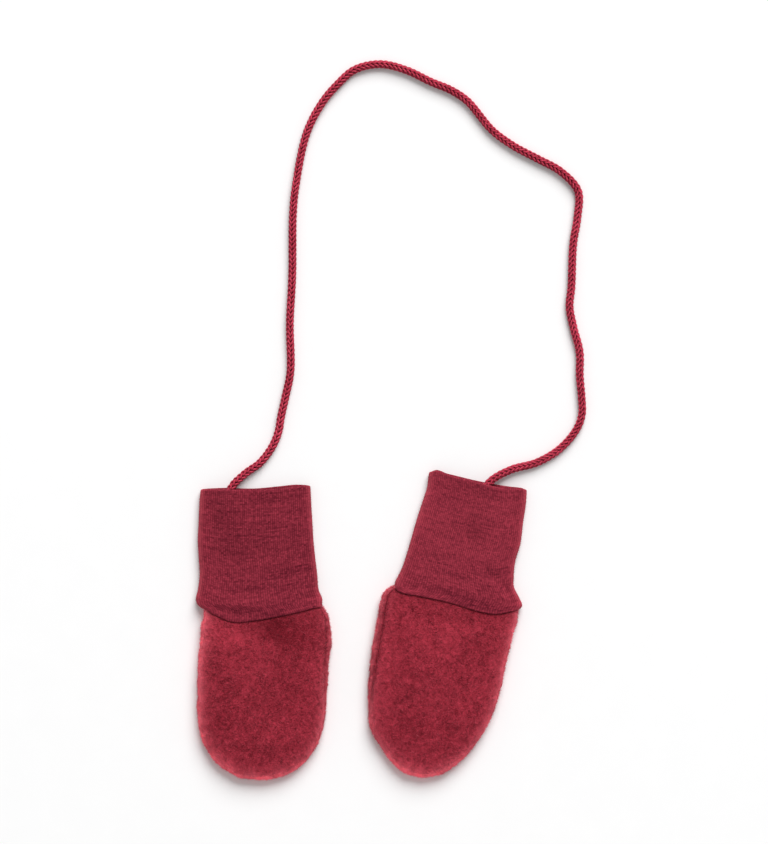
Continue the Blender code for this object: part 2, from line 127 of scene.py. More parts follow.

# Side: how far each side lies from the mitten's axis
# Depth: height at the middle, and radius of the rounded sides
# Line: along of a sewn or folded edge on the front and on the back, by share of the half width
# Roll: how far in from each side the seam between the panels lies on the front
# Fold: middle, direction, size and rise of one soft ridge, or of a trough where the rise is negative
# Patch: the same for one soft patch of lighter colour, or of darker colour where the tone is negative;
# some are painted shade along the cuffs' lips and some painted highlight along the rims, marked where they
# stand
# Rims: strength of the painted rim highlight and painted glow at the left side, at the right side and
# round the tip
# Tip: where the round end starts, its lowest point, and its exponent (2 is an ellipse)
# Cord at: across of the place where the cord goes into the cuff
LEFT = Mitten(
    name="left",
    centre=(-54.8, 7.0),
    tilt=0.0,
    sides=(
        Side(-70.0, -33.3, 26.8),
        Side(-60.0, -34.2, 27.3),
        Side(-50.0, -34.6, 27.9),
        Side(-40.0, -35.1, 28.5),
        Side(-30.0, -34.6, 29.5),
        Side(-20.0, -34.1, 30.7),
        Side(-12.0, -35.1, 31.5),
        Side(-7.0, -36.1, 33.4),
        Side(-4.0, -35.0, 33.5),
        Side(-1.6, -32.3, 35.0),
        Side(2.0, -32.2, 37.0),
        Side(8.0, -33.5, 38.0),
        Side(16.0, -34.1, 38.3),
        Side(30.0, -35.3, 37.0),
        Side(45.0, -35.7, 36.0),
        Side(58.0, -35.8, 35.4),
        Side(92.3, -35.8, 34.6),
    ),
    depths=(
        Depth(-70.0, 6.4, 3.0),
        Depth(-50.0, 6.8, 3.0),
        Depth(-20.0, 6.9, 3.0),
        Depth(-5.0, 7.8, 3.4),
        Depth(8.0, 8.2, 4.0),
        Depth(25.0, 8.7, 4.4),
        Depth(60.0, 8.8, 4.4),
        Depth(92.0, 8.2, 4.4),
    ),
    tip=Tip(start=52.0, across=-1.2, end=92.4, roundness=2.2),
    mouth=(
        Line(-1.0, -67.6, -67.6),
        Line(-0.6, -67.5, -68.2),
        Line(0.0, -67.4, -67.9),
        Line(0.4, -67.9, -69.0),
        Line(0.75, -69.1, -70.0),
        Line(1.0, -69.6, -69.6),
    ),
    seam=(
        Line(-1.0, -1.6, -1.6),
        Line(-0.8, 1.6, -2.0),
        Line(-0.55, 5.0, -1.4),
        Line(-0.2, 4.7, -1.0),
        Line(0.2, 2.3, -1.6),
        Line(0.6, -0.4, -3.2),
        Line(0.85, -2.2, -3.6),
        Line(1.0, -3.2, -3.2),
    ),
    rolls=(
        Roll(-4.0, 0.0, 2.2),
        Roll(6.0, 0.0, 2.4),
        Roll(26.0, 0.0, 2.4),
        Roll(48.0, 0.0, 0.6),
        Roll(60.0, 0.0, 0.0),
        Roll(92.0, 0.0, 0.0),
    ),
    folds=(
        Fold(across=12.0, along=9.0, turn=-14.0, length=22.0, width=6.0, rise=-0.9),
        Fold(across=-14.0, along=14.0, turn=8.0, length=18.0, width=9.0, rise=0.8),
        Fold(across=22.0, along=28.0, turn=70.0, length=20.0, width=7.0, rise=0.6),
        Fold(across=-8.0, along=52.0, turn=20.0, length=24.0, width=10.0, rise=-0.7),
        Fold(across=14.0, along=68.0, turn=-20.0, length=20.0, width=9.0, rise=0.5),
        Fold(across=26.0, along=-8.0, turn=-24.0, length=9.0, width=2.6, rise=-0.8),
        Fold(across=-12.0, along=-3.0, turn=4.0, length=22.0, width=4.0, rise=0.8),
        Fold(across=4.0, along=-32.0, turn=-10.0, length=26.0, width=7.0, rise=-0.6),
    ),
    patches=(
        Patch(across=-16.0, along=13.0, turn=24.0, length=11.0, width=5.5, tone=0.6),
        # Painted shade on the fleece just below the cuff's lip
        Patch(across=10.5, along=9.5, turn=4.0, length=11.0, width=8.0, tone=-1.8),
        Patch(across=24.0, along=16.0, turn=-30.0, length=9.0, width=6.0, tone=-0.45),
        Patch(across=-22.0, along=31.0, turn=0.0, length=7.0, width=5.0, tone=-0.4),
        Patch(across=-20.0, along=60.0, turn=10.0, length=9.0, width=8.0, tone=-0.5),
        Patch(across=-6.5, along=73.0, turn=0.0, length=10.0, width=6.0, tone=-0.35),
        Patch(across=16.5, along=49.0, turn=80.0, length=10.0, width=6.0, tone=-0.3),
        Patch(across=21.0, along=33.0, turn=0.0, length=8.0, width=5.0, tone=0.25),
        # Painted highlight along the cuff's left rim
        Patch(across=-27.0, along=-36.0, turn=88.0, length=24.0, width=6.0, tone=0.3),
        Patch(across=-14.0, along=-40.0, turn=80.0, length=16.0, width=8.0, tone=-0.2),
        Patch(across=13.0, along=-63.0, turn=-4.0, length=13.0, width=5.0, tone=-0.2),
        Patch(across=8.0, along=-20.0, turn=-12.0, length=24.0, width=5.0, tone=-0.2),
        # Painted shade along the cuff just above its lip
        Patch(across=-16.0, along=-1.5, turn=10.0, length=18.0, width=4.0, tone=-0.45),
    ),
    rims=(0.85, 0.42, 1.0),
    cord_at=-18.6,
)

RIGHT = Mitten(
    name="right",
    centre=(52.0, 12.5),
    tilt=11.0,
    sides=(
        Side(-70.0, -28.0, 26.0),
        Side(-66.0, -28.2, 26.7),
        Side(-60.0, -27.7, 27.4),
        Side(-50.0, -28.8, 27.8),
        Side(-38.0, -30.2, 28.6),
        Side(-28.0, -31.0, 27.7),
        Side(-20.0, -31.8, 28.4),
        Side(-14.0, -32.6, 29.8),
        Side(-9.0, -33.8, 33.6),
        Side(-5.0, -35.0, 36.0),
        Side(-2.6, -35.4, 35.2),
        Side(-0.4, -38.2, 34.9),
        Side(2.4, -40.4, 35.3),
        Side(8.0, -40.9, 35.0),
        Side(20.0, -40.8, 34.1),
        Side(40.0, -40.2, 33.5),
        Side(56.0, -38.4, 32.0),
        Side(66.0, -36.6, 29.2),
        Side(74.0, -34.9, 26.0),
        Side(82.0, -31.8, 23.8),
        Side(90.0, -28.2, 22.5),
        Side(98.4, -27.0, 22.5),
    ),
    depths=(
        Depth(-70.0, 6.4, 3.0),
        Depth(-50.0, 6.8, 3.0),
        Depth(-20.0, 6.9, 3.0),
        Depth(-5.0, 7.8, 3.4),
        Depth(8.0, 8.3, 4.0),
        Depth(25.0, 8.8, 4.4),
        Depth(60.0, 8.7, 4.4),
        Depth(98.0, 8.0, 4.4),
    ),
    tip=Tip(start=72.0, across=-4.0, end=98.4, roundness=2.0),
    mouth=(
        Line(-1.0, -67.6, -67.6),
        Line(-0.9, -69.0, -68.6),
        Line(-0.6, -68.1, -68.3),
        Line(0.0, -66.9, -67.6),
        Line(0.65, -66.9, -67.9),
        Line(0.9, -68.4, -68.4),
        Line(1.0, -68.2, -68.2),
    ),
    seam=(
        Line(-1.0, -2.6, -2.6),
        Line(-0.9, -0.5, -3.0),
        Line(-0.78, 0.6, -3.0),
        Line(-0.5, 0.7, -2.4),
        Line(0.0, 1.0, -2.0),
        Line(0.4, 2.5, -1.6),
        Line(0.65, 2.3, -2.2),
        Line(0.85, -0.2, -3.4),
        Line(1.0, -2.8, -2.8),
    ),
    rolls=(
        Roll(-4.0, 3.4, 0.0),
        Roll(12.0, 3.5, 0.0),
        Roll(30.0, 3.8, 0.0),
        Roll(44.0, 3.2, 0.0),
        Roll(58.0, 1.4, 0.0),
        Roll(70.0, 0.2, 0.0),
        Roll(98.0, 0.0, 0.0),
    ),
    folds=(
        Fold(across=2.0, along=10.0, turn=-6.0, length=24.0, width=6.0, rise=-0.8),
        Fold(across=-20.0, along=30.0, turn=75.0, length=24.0, width=7.0, rise=0.7),
        Fold(across=14.0, along=34.0, turn=82.0, length=22.0, width=8.0, rise=0.5),
        Fold(across=-6.0, along=58.0, turn=-16.0, length=22.0, width=10.0, rise=-0.7),
        Fold(across=4.0, along=80.0, turn=30.0, length=14.0, width=7.0, rise=0.5),
        Fold(across=22.0, along=-14.0, turn=38.0, length=13.0, width=3.4, rise=-1.0),
        Fold(across=26.0, along=-7.0, turn=30.0, length=9.0, width=3.0, rise=0.7),
        Fold(across=-4.0, along=-36.0, turn=8.0, length=24.0, width=7.0, rise=-0.5),
    ),
    patches=(
        Patch(across=0.0, along=48.0, turn=0.0, length=60.0, width=46.0, tone=-0.13),
        # Painted shade on the fleece just below the cuff's lip
        Patch(across=-10.0, along=9.5, turn=4.0, length=13.0, width=5.0, tone=-0.45),
        Patch(across=-8.5, along=45.0, turn=0.0, length=8.0, width=7.0, tone=-0.35),
        Patch(across=-9.0, along=71.0, turn=0.0, length=11.0, width=9.0, tone=-0.4),
        Patch(across=11.0, along=78.0, turn=0.0, length=8.0, width=6.0, tone=-0.35),
        Patch(across=18.0, along=23.0, turn=-20.0, length=9.0, width=6.0, tone=-0.3),
        # These two: painted highlight along the fleece's left rim
        Patch(across=-30.0, along=42.0, turn=86.0, length=18.0, width=4.5, tone=0.4),
        Patch(across=-31.0, along=11.0, turn=0.0, length=6.0, width=6.0, tone=0.35),
        Patch(across=12.0, along=54.0, turn=70.0, length=16.0, width=7.0, tone=0.2),
        # Painted light: the whole cuff lighter, as where more light falls
        Patch(across=0.0, along=-40.0, turn=0.0, length=60.0, width=32.0, tone=0.7),
        Patch(across=0.0, along=-70.0, turn=0.0, length=40.0, width=4.0, tone=0.6),
        Patch(across=-25.0, along=-46.0, turn=86.0, length=18.0, width=6.0, tone=0.35),
        Patch(across=-5.0, along=-66.0, turn=0.0, length=16.0, width=3.5, tone=-0.5),
        Patch(across=-6.0, along=-22.0, turn=10.0, length=22.0, width=5.0, tone=-0.25),
        # Painted shade along the cuff just above its lip
        Patch(across=6.0, along=-2.0, turn=8.0, length=24.0, width=4.0, tone=-0.6),
    ),
    rims=(0.6, 0.52, 1.35),
    cord_at=3.0,
)

# Cord: route from inside the left cuff to inside the right cuff, x, y and height of its middle
FLOOR = 2.1
INSIDE = 4.4
ROUTE = (
    (-74.4, 57.6, INSIDE),
    (-74.2, 66.8, INSIDE),
    (-71.0, 75.9, INSIDE),
    (-64.0, 82.9, 3.2),
    (-55.5, 89.2, FLOOR),
    (-48.8, 98.2, FLOOR),
    (-45.5, 106.4, FLOOR),
    (-44.3, 113.6, FLOOR),
    (-41.9, 124.6, FLOOR),
    (-39.0, 139.1, FLOOR),
    (-39.3, 166.0, FLOOR),
    (-38.0, 192.0, FLOOR),
    (-37.6, 226.0, FLOOR),
    (-36.0, 241.8, FLOOR),
    (-30.0, 270.4, FLOOR),
    (-21.7, 286.6, FLOOR),
    (-13.2, 296.8, FLOOR),
    (-3.6, 305.0, FLOOR),
    (10.6, 308.0, FLOOR),
    (24.9, 304.6, FLOOR),
    (38.2, 298.3, FLOOR),
    (49.4, 293.6, FLOOR),
    (58.2, 287.7, FLOOR),
    (72.0, 271.5, FLOOR),
    (84.0, 262.8, FLOOR),
    (96.8, 256.0, FLOOR),
    (109.5, 249.0, FLOOR),
    (119.0, 238.3, FLOOR),
    (118.7, 223.9, FLOOR),
    (116.4, 209.4, FLOOR),
    (115.4, 186.0, FLOOR),
    (114.4, 174.6, FLOOR),
    (116.6, 163.0, FLOOR),
    (119.9, 150.0, FLOOR),
    (120.0, 137.0, FLOOR),
    (121.0, 125.0, FLOOR),
    (121.2, 116.0, FLOOR),
    (118.5, 107.9, FLOOR),
    (109.0, 96.7, FLOOR),
    (96.3, 89.1, FLOOR),
    (82.4, 85.3, 2.9),
    (71.0, 79.0, INSIDE),
    (64.6, 70.0, INSIDE),
    (61.6, 59.6, INSIDE),
)
CORD_END = 3.0
CORD_OUTER = 2.3
CORE_RADIUS = 0.8
CORE_SIDES = 8
LOOP_HEIGHT = 0.72
LOOP_SWAY = 0.27
LOOP_DEPTH = 0.5
FUZZ_DEPTH = 0.3
FUZZ_STEP = 1.0
ROUTE_SAMPLES = 4000
PATH_STEP = 2.0

# How the cord turns on itself along its length: swings in radians, lengths in millimetres
Wave = namedtuple("Wave", "swing length start")
CORD_TWIST = (Wave(0.22, 47.0, 0.0), Wave(0.16, 19.0, 1.0))

# Raised fibres: how deep a root sits, how low a tip reaches, and where they stand
FIBRE_ROOT = 0.12
LOWEST_FIBRE = 0.1
LOWEST_FACING = -0.55
NAP_START = -0.4
RIM_CROWDING = 2.0

# Spread of the fibres' lengths and widths, of their direction in radians, and of their tones
FIBRE_LENGTHS = (0.45, 1.25)
FIBRE_WIDTHS = (0.6, 1.4)
HEADING_SPREAD = 0.6
TONE_SPREAD = 0.24

# How steeply the fibres stand, from and to, in degrees, and the seeds of their places
NAP_LIFT = (6, 50)
CUFF_FUZZ_LIFT = (5, 60)
CORD_FUZZ_LIFT = (15, 70)
NAP_SEED = 31
CUFF_FUZZ_SEED = 51
CORD_FUZZ_SEED = 61

# Flat cut of each fleece panel, with the share of it that the cloth fills, and of the outside of
# each cuff, all round
Cut = namedtuple("Cut", "width length filled")

# Stage: the lamp in metres, the camera's sensor and the floor in millimetres
KEY_SIZE = 8.8
KEY_PLACE = (2.6, 8.6, 7.4)
KEY_TARGET_Y = 0.03
SENSOR_WIDTH = 36.0
FLOOR_HALF = 3000.0
FLOOR_HEIGHT = -0.2


# Settings that a user would change


class MittensFleeceSettings(bpy.types.PropertyGroup):
    """Sizes and colours of the brushed fleece."""

    front_step: bpy.props.FloatProperty(
        name="Front step", description="Size of the front panels' mesh cells in millimetres", default=0.8
    )
    back_step: bpy.props.FloatProperty(
        name="Back step", description="Size of the back panels' mesh cells in millimetres", default=1.0
    )
    tuft_height: bpy.props.FloatProperty(
        name="Tuft height", description="How far the brushed tufts stand up in millimetres", default=0.26
    )
    tuft_size: bpy.props.FloatProperty(
        name="Tuft size", description="Width of the brushed tufts in millimetres", default=2.4
    )
    front_fibres: bpy.props.IntProperty(
        name="Front fibres", description="Raised fibres on each front panel", default=36000
    )
    back_fibres: bpy.props.IntProperty(
        name="Back fibres", description="Raised fibres on each back panel", default=9000
    )
    fibre_length: bpy.props.FloatProperty(
        name="Fibre length", description="Length of a raised fibre in millimetres", default=1.5
    )
    fibre_width: bpy.props.FloatProperty(
        name="Fibre width", description="Width of a raised fibre at its root in millimetres", default=0.2
    )
    dark: bpy.props.FloatVectorProperty(
        name="Dark wool",
        description="Colour of the darkest wool",
        subtype="COLOR",
        default=(0.18, 0.0092, 0.0187),
    )
    light: bpy.props.FloatVectorProperty(
        name="Light wool",
        description="Colour of the lightest wool",
        subtype="COLOR",
        default=(0.515, 0.046, 0.077),
    )
    # Painted rim highlight: the colour that the fleece and its nap take towards the rims
    rim: bpy.props.FloatVectorProperty(
        name="Rim wool",
        description="Colour of the loose nap at the rims",
        subtype="COLOR",
        default=(0.95, 0.16, 0.215),
    )
    drifts: bpy.props.FloatProperty(
        name="Drifts", description="Contrast of the wide patches", default=0.75
    )
    patches: bpy.props.FloatProperty(
        name="Patches", description="Contrast of the small patches", default=1.0
    )
    flecks: bpy.props.FloatProperty(name="Flecks", description="Contrast of the flecks", default=1.9)
    fibre_contrast: bpy.props.FloatProperty(
        name="Fibre contrast", description="How much the tone changes from fibre to fibre", default=1.6
    )
    # Share of the painted rim highlight's colour that is mixed in
    painted_rim_strength: bpy.props.FloatProperty(
        name="Rim strength", description="How much of the rim's colour the loose nap takes", default=1.0
    )
    # Painted glow at the rims: an emission colour standing in for light through the loose nap; no lamp
    painted_glow: bpy.props.FloatVectorProperty(
        name="Rim light",
        description="Light through the loose nap at the rims",
        subtype="COLOR",
        default=(0.17, 0.04, 0.052),
    )
    # Painted shade below the cuff's lip and in the side seams' creases
    lip_shade: bpy.props.FloatProperty(
        name="Lip shade", description="How dark the fleece is below the lip of the cuff", default=0.4
    )


class MittensCuffSettings(bpy.types.PropertyGroup):
    """Sizes and colours of the jersey cuffs."""

    wales: bpy.props.IntProperty(
        name="Wales", description="Columns of stitches round a cuff, a multiple of four", default=112
    )
    wale_points: bpy.props.IntProperty(
        name="Wale points", description="Mesh columns for one column of stitches", default=4
    )
    rows: bpy.props.IntProperty(
        name="Rows", description="Mesh rows from the mouth to the lip", default=100
    )
    groove: bpy.props.FloatProperty(
        name="Groove", description="Depth between two columns of stitches in millimetres", default=0.16
    )
    course: bpy.props.FloatProperty(
        name="Course", description="Height of one row of stitches in millimetres", default=0.9
    )
    fibres: bpy.props.IntProperty(name="Fibres", description="Loose fibres on each cuff", default=7000)
    fibre_length: bpy.props.FloatProperty(
        name="Fibre length", description="Length of a loose fibre in millimetres", default=0.9
    )
    fibre_width: bpy.props.FloatProperty(
        name="Fibre width", description="Width of a loose fibre at its root in millimetres", default=0.1
    )
    dark: bpy.props.FloatVectorProperty(
        name="Dark wool",
        description="Colour of the darkest streaks",
        subtype="COLOR",
        default=(0.10, 0.0065, 0.016),
    )
    light: bpy.props.FloatVectorProperty(
        name="Light wool",
        description="Colour of the lightest streaks",
        subtype="COLOR",
        default=(0.36, 0.0365, 0.061),
    )
    # Painted rim highlight: the colour that the cuffs take towards their sides
    rim: bpy.props.FloatVectorProperty(
        name="Rim wool",
        description="Colour of the loose fibres at the rims",
        subtype="COLOR",
        default=(0.9, 0.13, 0.18),
    )
    # Share of the painted rim highlight's colour that is mixed in
    painted_rim_strength: bpy.props.FloatProperty(
        name="Rim strength", description="How much of the rim's colour the edges take", default=0.5
    )
    streaks: bpy.props.FloatProperty(
        name="Streaks", description="Contrast of the streaks in single rows", default=0.9
    )
    wide_streaks: bpy.props.FloatProperty(
        name="Wide streaks", description="Contrast of the streaks over some rows", default=0.4
    )
    columns: bpy.props.FloatProperty(
        name="Columns", description="Contrast of the stretches in single columns", default=0.3
    )
    flecks: bpy.props.FloatProperty(name="Flecks", description="Contrast of the flecks", default=1.1)
    stitch_contrast: bpy.props.FloatProperty(
        name="Stitch contrast",
        description="How much the tone changes from stitch to stitch",
        default=0.45,
    )
    # Painted shade in the grooves between the columns of stitches
    groove_contrast: bpy.props.FloatProperty(
        name="Groove contrast", description="How dark the grooves between columns get", default=1.3
    )


class MittensCordSettings(bpy.types.PropertyGroup):
    """Sizes and colours of the knitted cord."""

    wales: bpy.props.IntProperty(
        name="Wales", description="Columns of stitches round the cord", default=3
    )
    course: bpy.props.FloatProperty(
        name="Course", description="Length of one stitch along the cord in millimetres", default=2.65
    )
    yarn_radius: bpy.props.FloatProperty(
        name="Yarn radius", description="Half the yarn's thickness in millimetres", default=0.5
    )
    loop_points: bpy.props.IntProperty(
        name="Loop points", description="Rings of the yarn's mesh in one stitch", default=14
    )
    yarn_sides: bpy.props.IntProperty(
        name="Yarn sides", description="Sides of the yarn's mesh", default=6
    )
    fibres: bpy.props.IntProperty(name="Fibres", description="Loose fibres on the cord", default=6000)
    fibre_length: bpy.props.FloatProperty(
        name="Fibre length", description="Length of a loose fibre in millimetres", default=0.8
    )
    fibre_width: bpy.props.FloatProperty(
        name="Fibre width", description="Width of a loose fibre at its root in millimetres", default=0.09
    )
    dark: bpy.props.FloatVectorProperty(
        name="Dark wool",
        description="Colour of the darkest yarn",
        subtype="COLOR",
        default=(0.29, 0.0165, 0.035),
    )
    light: bpy.props.FloatVectorProperty(
        name="Light wool",
        description="Colour of the lightest yarn",
        subtype="COLOR",
        default=(0.73, 0.074, 0.13),
    )


class MittensStageSettings(bpy.types.PropertyGroup):
    """Camera, lights and floor."""

    view_width: bpy.props.FloatProperty(
        name="View width",
        description="Width of the floor that the camera sees",
        subtype="DISTANCE",
        default=0.4224,
    )
    view_x: bpy.props.FloatProperty(
        name="View X", description="Middle of the view", default=0.0124, subtype="DISTANCE"
    )
    view_y: bpy.props.FloatProperty(
        name="View Y", description="Middle of the view", default=0.1114, subtype="DISTANCE"
    )
    camera_height: bpy.props.FloatProperty(
        name="Camera height",
        description="Height of the camera above the floor",
        subtype="DISTANCE",
        default=1.8,
    )
    key_power: bpy.props.FloatProperty(
        name="Key light", description="Power of the large soft light", default=1640.0, subtype="POWER"
    )
    sky: bpy.props.FloatProperty(
        name="Sky", description="Strength of the even light from all round", default=0.435
    )


# Shape of a mitten


def smooth(at, keys, values):
    """Read a smooth curve through a short table: cubic steps whose slopes follow the neighbours."""
    keys = np.asarray(keys, float)
    values = np.asarray(values, float)
    slopes = np.gradient(values, keys)
    at = np.clip(np.asarray(at, float), keys[0], keys[-1])
    cell = np.clip(np.searchsorted(keys, at, side="right") - 1, 0, len(keys) - 2)
    span = keys[cell + 1] - keys[cell]
    t = (at - keys[cell]) / span
    start = values[cell] * (1 + 2 * t) * (1 - t) ** 2 + slopes[cell] * span * t * (1 - t) ** 2
    end = values[cell + 1] * t**2 * (3 - 2 * t) + slopes[cell + 1] * span * t**2 * (t - 1)
    return start + end


def column(rows, key, name, at):
    """Read one named column of a table at the given values of its key column."""
    keys = [getattr(row, key) for row in rows]
    values = [getattr(row, name) for row in rows]
    return smooth(at, keys, values)


def soft_noise(points, size, seed):
    """Smooth random values from -1 to 1 that change over about size millimetres.

    Each corner of a cubic lattice holds a seeded random value, and a point blends the eight
    corners of its cell with eased weights.
    """
    lattice = np.random.default_rng(seed).uniform(-1, 1, (32, 32, 32))
    place = points / size
    cell = np.floor(place).astype(int)
    ease = place - cell
    ease = ease * ease * (3 - 2 * ease)
    value = np.zeros(points.shape[:-1])
    for corner in itertools.product((0, 1), repeat=3):
        weight = np.prod(np.where(corner, ease, 1 - ease), axis=-1)
        i, j, k = np.moveaxis((cell + corner) % 32, -1, 0)
        value += weight * lattice[i, j, k]
    return value


def noise_sum(points, noises, scale=1.0):
    """Sum of soft noises, each with its own size, strength and seed."""
    return sum(noise.strength * soft_noise(points, scale * noise.size, noise.seed) for noise in noises)


def bell_sum(rows, name, across, along):
    """Sum of one column over a table's soft spots: each is its value times a bell curve both ways."""
    total = np.zeros(np.broadcast(across, along).shape)
    for row in rows:
        turn = math.radians(row.turn)
        dx = across - row.across
        dy = along - row.along
        lengthwise = (dx * math.cos(turn) + dy * math.sin(turn)) / row.length
        widthwise = (dy * math.cos(turn) - dx * math.sin(turn)) / row.width
        total = total + getattr(row, name) * np.exp(-(lengthwise**2) - widthwise**2)
    return total


def across_at(mitten, share, along):
    """Across of a point by its share of the half width, from -1 at the left side to 1 at the right."""
    left = column(mitten.sides, "along", "left", along)
    right = column(mitten.sides, "along", "right", along)
    return (left + right) / 2 + share * (right - left) / 2


def cloth_top(mitten, across, along, from_middle):
    """Height of the front: lower by the square of the way out from the middle, plus the folds."""
    crown = 1 - CROWN_SHARE * from_middle**2
    flat = column(mitten.depths, "along", "middle", along) * crown
    return flat + bell_sum(mitten.folds, "rise", across, along)


def perimeter_at_inset(inset, radius):
    """Length along a section from its widest line to a point that far in: an arc, then straight."""
    on_arc = radius * np.arccos(np.clip(1 - inset / radius, 0, 1))
    return np.where(inset < radius, on_arc, radius * math.pi / 2 + inset - radius)


def section_inset(perimeter, radius):
    """How far in from the side a point of a section lies, by its length from the widest line."""
    quarter = radius * math.pi / 2
    length = np.abs(perimeter)
    turn = np.minimum(length, quarter) / radius
    return radius * (1 - np.cos(turn)) + np.maximum(length - quarter, 0)


def section_height(perimeter, radius, top):
    """Height of that point: an elliptical arc from the floor to the widest line and to the top."""
    lift = np.sin(np.minimum(np.abs(perimeter) / radius, math.pi / 2))
    widest = WIDEST_SHARE * top
    return np.where(perimeter > 0, widest + (top - widest) * lift, widest * (1 - lift))


def to_world(mitten, across, along, height):
    """Turn a mitten's own axes into the part's frame, still in millimetres."""
    tilt = math.radians(mitten.tilt)
    x = mitten.centre[0] + across * math.cos(tilt) - along * math.sin(tilt)
    y = mitten.centre[1] - across * math.sin(tilt) - along * math.cos(tilt)
    return np.stack([x, y, height], axis=-1)


# Meshes


def cell_corners(grid):
    """Values of a grid at the four corners of each of its cells, in order round the cell."""
    return grid[:-1, :-1], grid[1:, :-1], grid[1:, 1:], grid[:-1, 1:]


def quads(index):
    """Quads between the neighbours in a grid of point numbers."""
    return np.stack(cell_corners(index), axis=-1).reshape(-1, 4)


def grid_uv(along_columns, along_rows):
    """Corners' places in the flat cloth for the quads of a grid, from its columns' and rows' places."""
    u, v = np.meshgrid(along_columns, along_rows)
    return np.stack(cell_corners(np.stack([u, v], axis=-1)), axis=2).reshape(-1, 4, 2)


def unit(vectors):
    """Vectors of length 1 in the same directions."""
    return vectors / np.maximum(np.linalg.norm(vectors, axis=-1, keepdims=True), 1e-9)


def walked_along(points):
    """Length walked along a line to each of its points."""
    steps = np.linalg.norm(np.diff(points, axis=0), axis=1)
    return np.concatenate([[0], np.cumsum(steps)])


def make_piece(name, points, faces, material, marks=None, uv=None):
    """Put points in millimetres and faces of equal size into a smooth mesh object at the origin."""
    sides = faces.shape[1]
    mesh = bpy.data.meshes.new(name)
    mesh.vertices.add(len(points))
    mesh.vertices.foreach_set("co", (points * MM).astype(np.float32).ravel())
    mesh.loops.add(faces.size)
    mesh.loops.foreach_set("vertex_index", faces.astype(np.int32).ravel())
    mesh.polygons.add(len(faces))
    mesh.polygons.foreach_set("loop_start", np.arange(len(faces), dtype=np.int32) * sides)
    if uv is not None:
        layer = mesh.uv_layers.new(name="Cloth")
        layer.data.foreach_set("uv", uv.astype(np.float32).ravel())
    mesh.update(calc_edges=True)
    for mark, values in (marks or {}).items():
        attribute = mesh.attributes.new(mark, "FLOAT", "POINT")
        attribute.data.foreach_set("value", values.astype(np.float32).ravel())
    if mesh.validate():
        raise RuntimeError(f"{name} has a faulty face")
    mesh.shade_smooth()
    mesh.materials.append(material)
    piece = bpy.data.objects.new(name, mesh)
    bpy.context.scene.collection.objects.link(piece)
    return piece


def tube_faces(rings, sides):
    """Quads of a tube of rings, closed round, with its ends closed by quads from one corner."""
    index = np.arange(rings * sides).reshape(rings, sides)
    wall = quads(np.concatenate([index, index[:, :1]], axis=1))[:, ::-1]
    corners = np.array([[0, k, k + 1, k + 2] for k in range(1, sides - 2, 2)])
    return np.concatenate([wall, index[0][corners[:, ::-1]], index[-1][corners]])


# Fleece panels

Panel = namedtuple("Panel", "points index marks from_cuff")


def outline_stations(mitten, step):
    """Places round the fleece, from the cuff down the left side, round the tip and back up.

    Each is the share of the way from the cuff seam to the tip's start, the side (-1 or 1), and
    the angle round the tip, which stays at its end on the straight sides.
    """
    tip = mitten.tip
    side_steps = round(tip.start / step)
    tip_steps = 2 * round((tip.end - tip.start) * 1.5 / step)
    shares = np.linspace(0, 1, side_steps + 1)
    turns = np.linspace(0, math.pi, tip_steps + 1)
    share = np.concatenate([shares, np.ones(tip_steps - 1), shares[::-1]])
    turn = np.concatenate([np.zeros(side_steps + 1), turns[1:-1], np.full(side_steps + 1, math.pi)])
    side = np.where(turn < math.pi / 2, -1.0, 1.0)
    return share[:, None], side[:, None], turn[:, None]


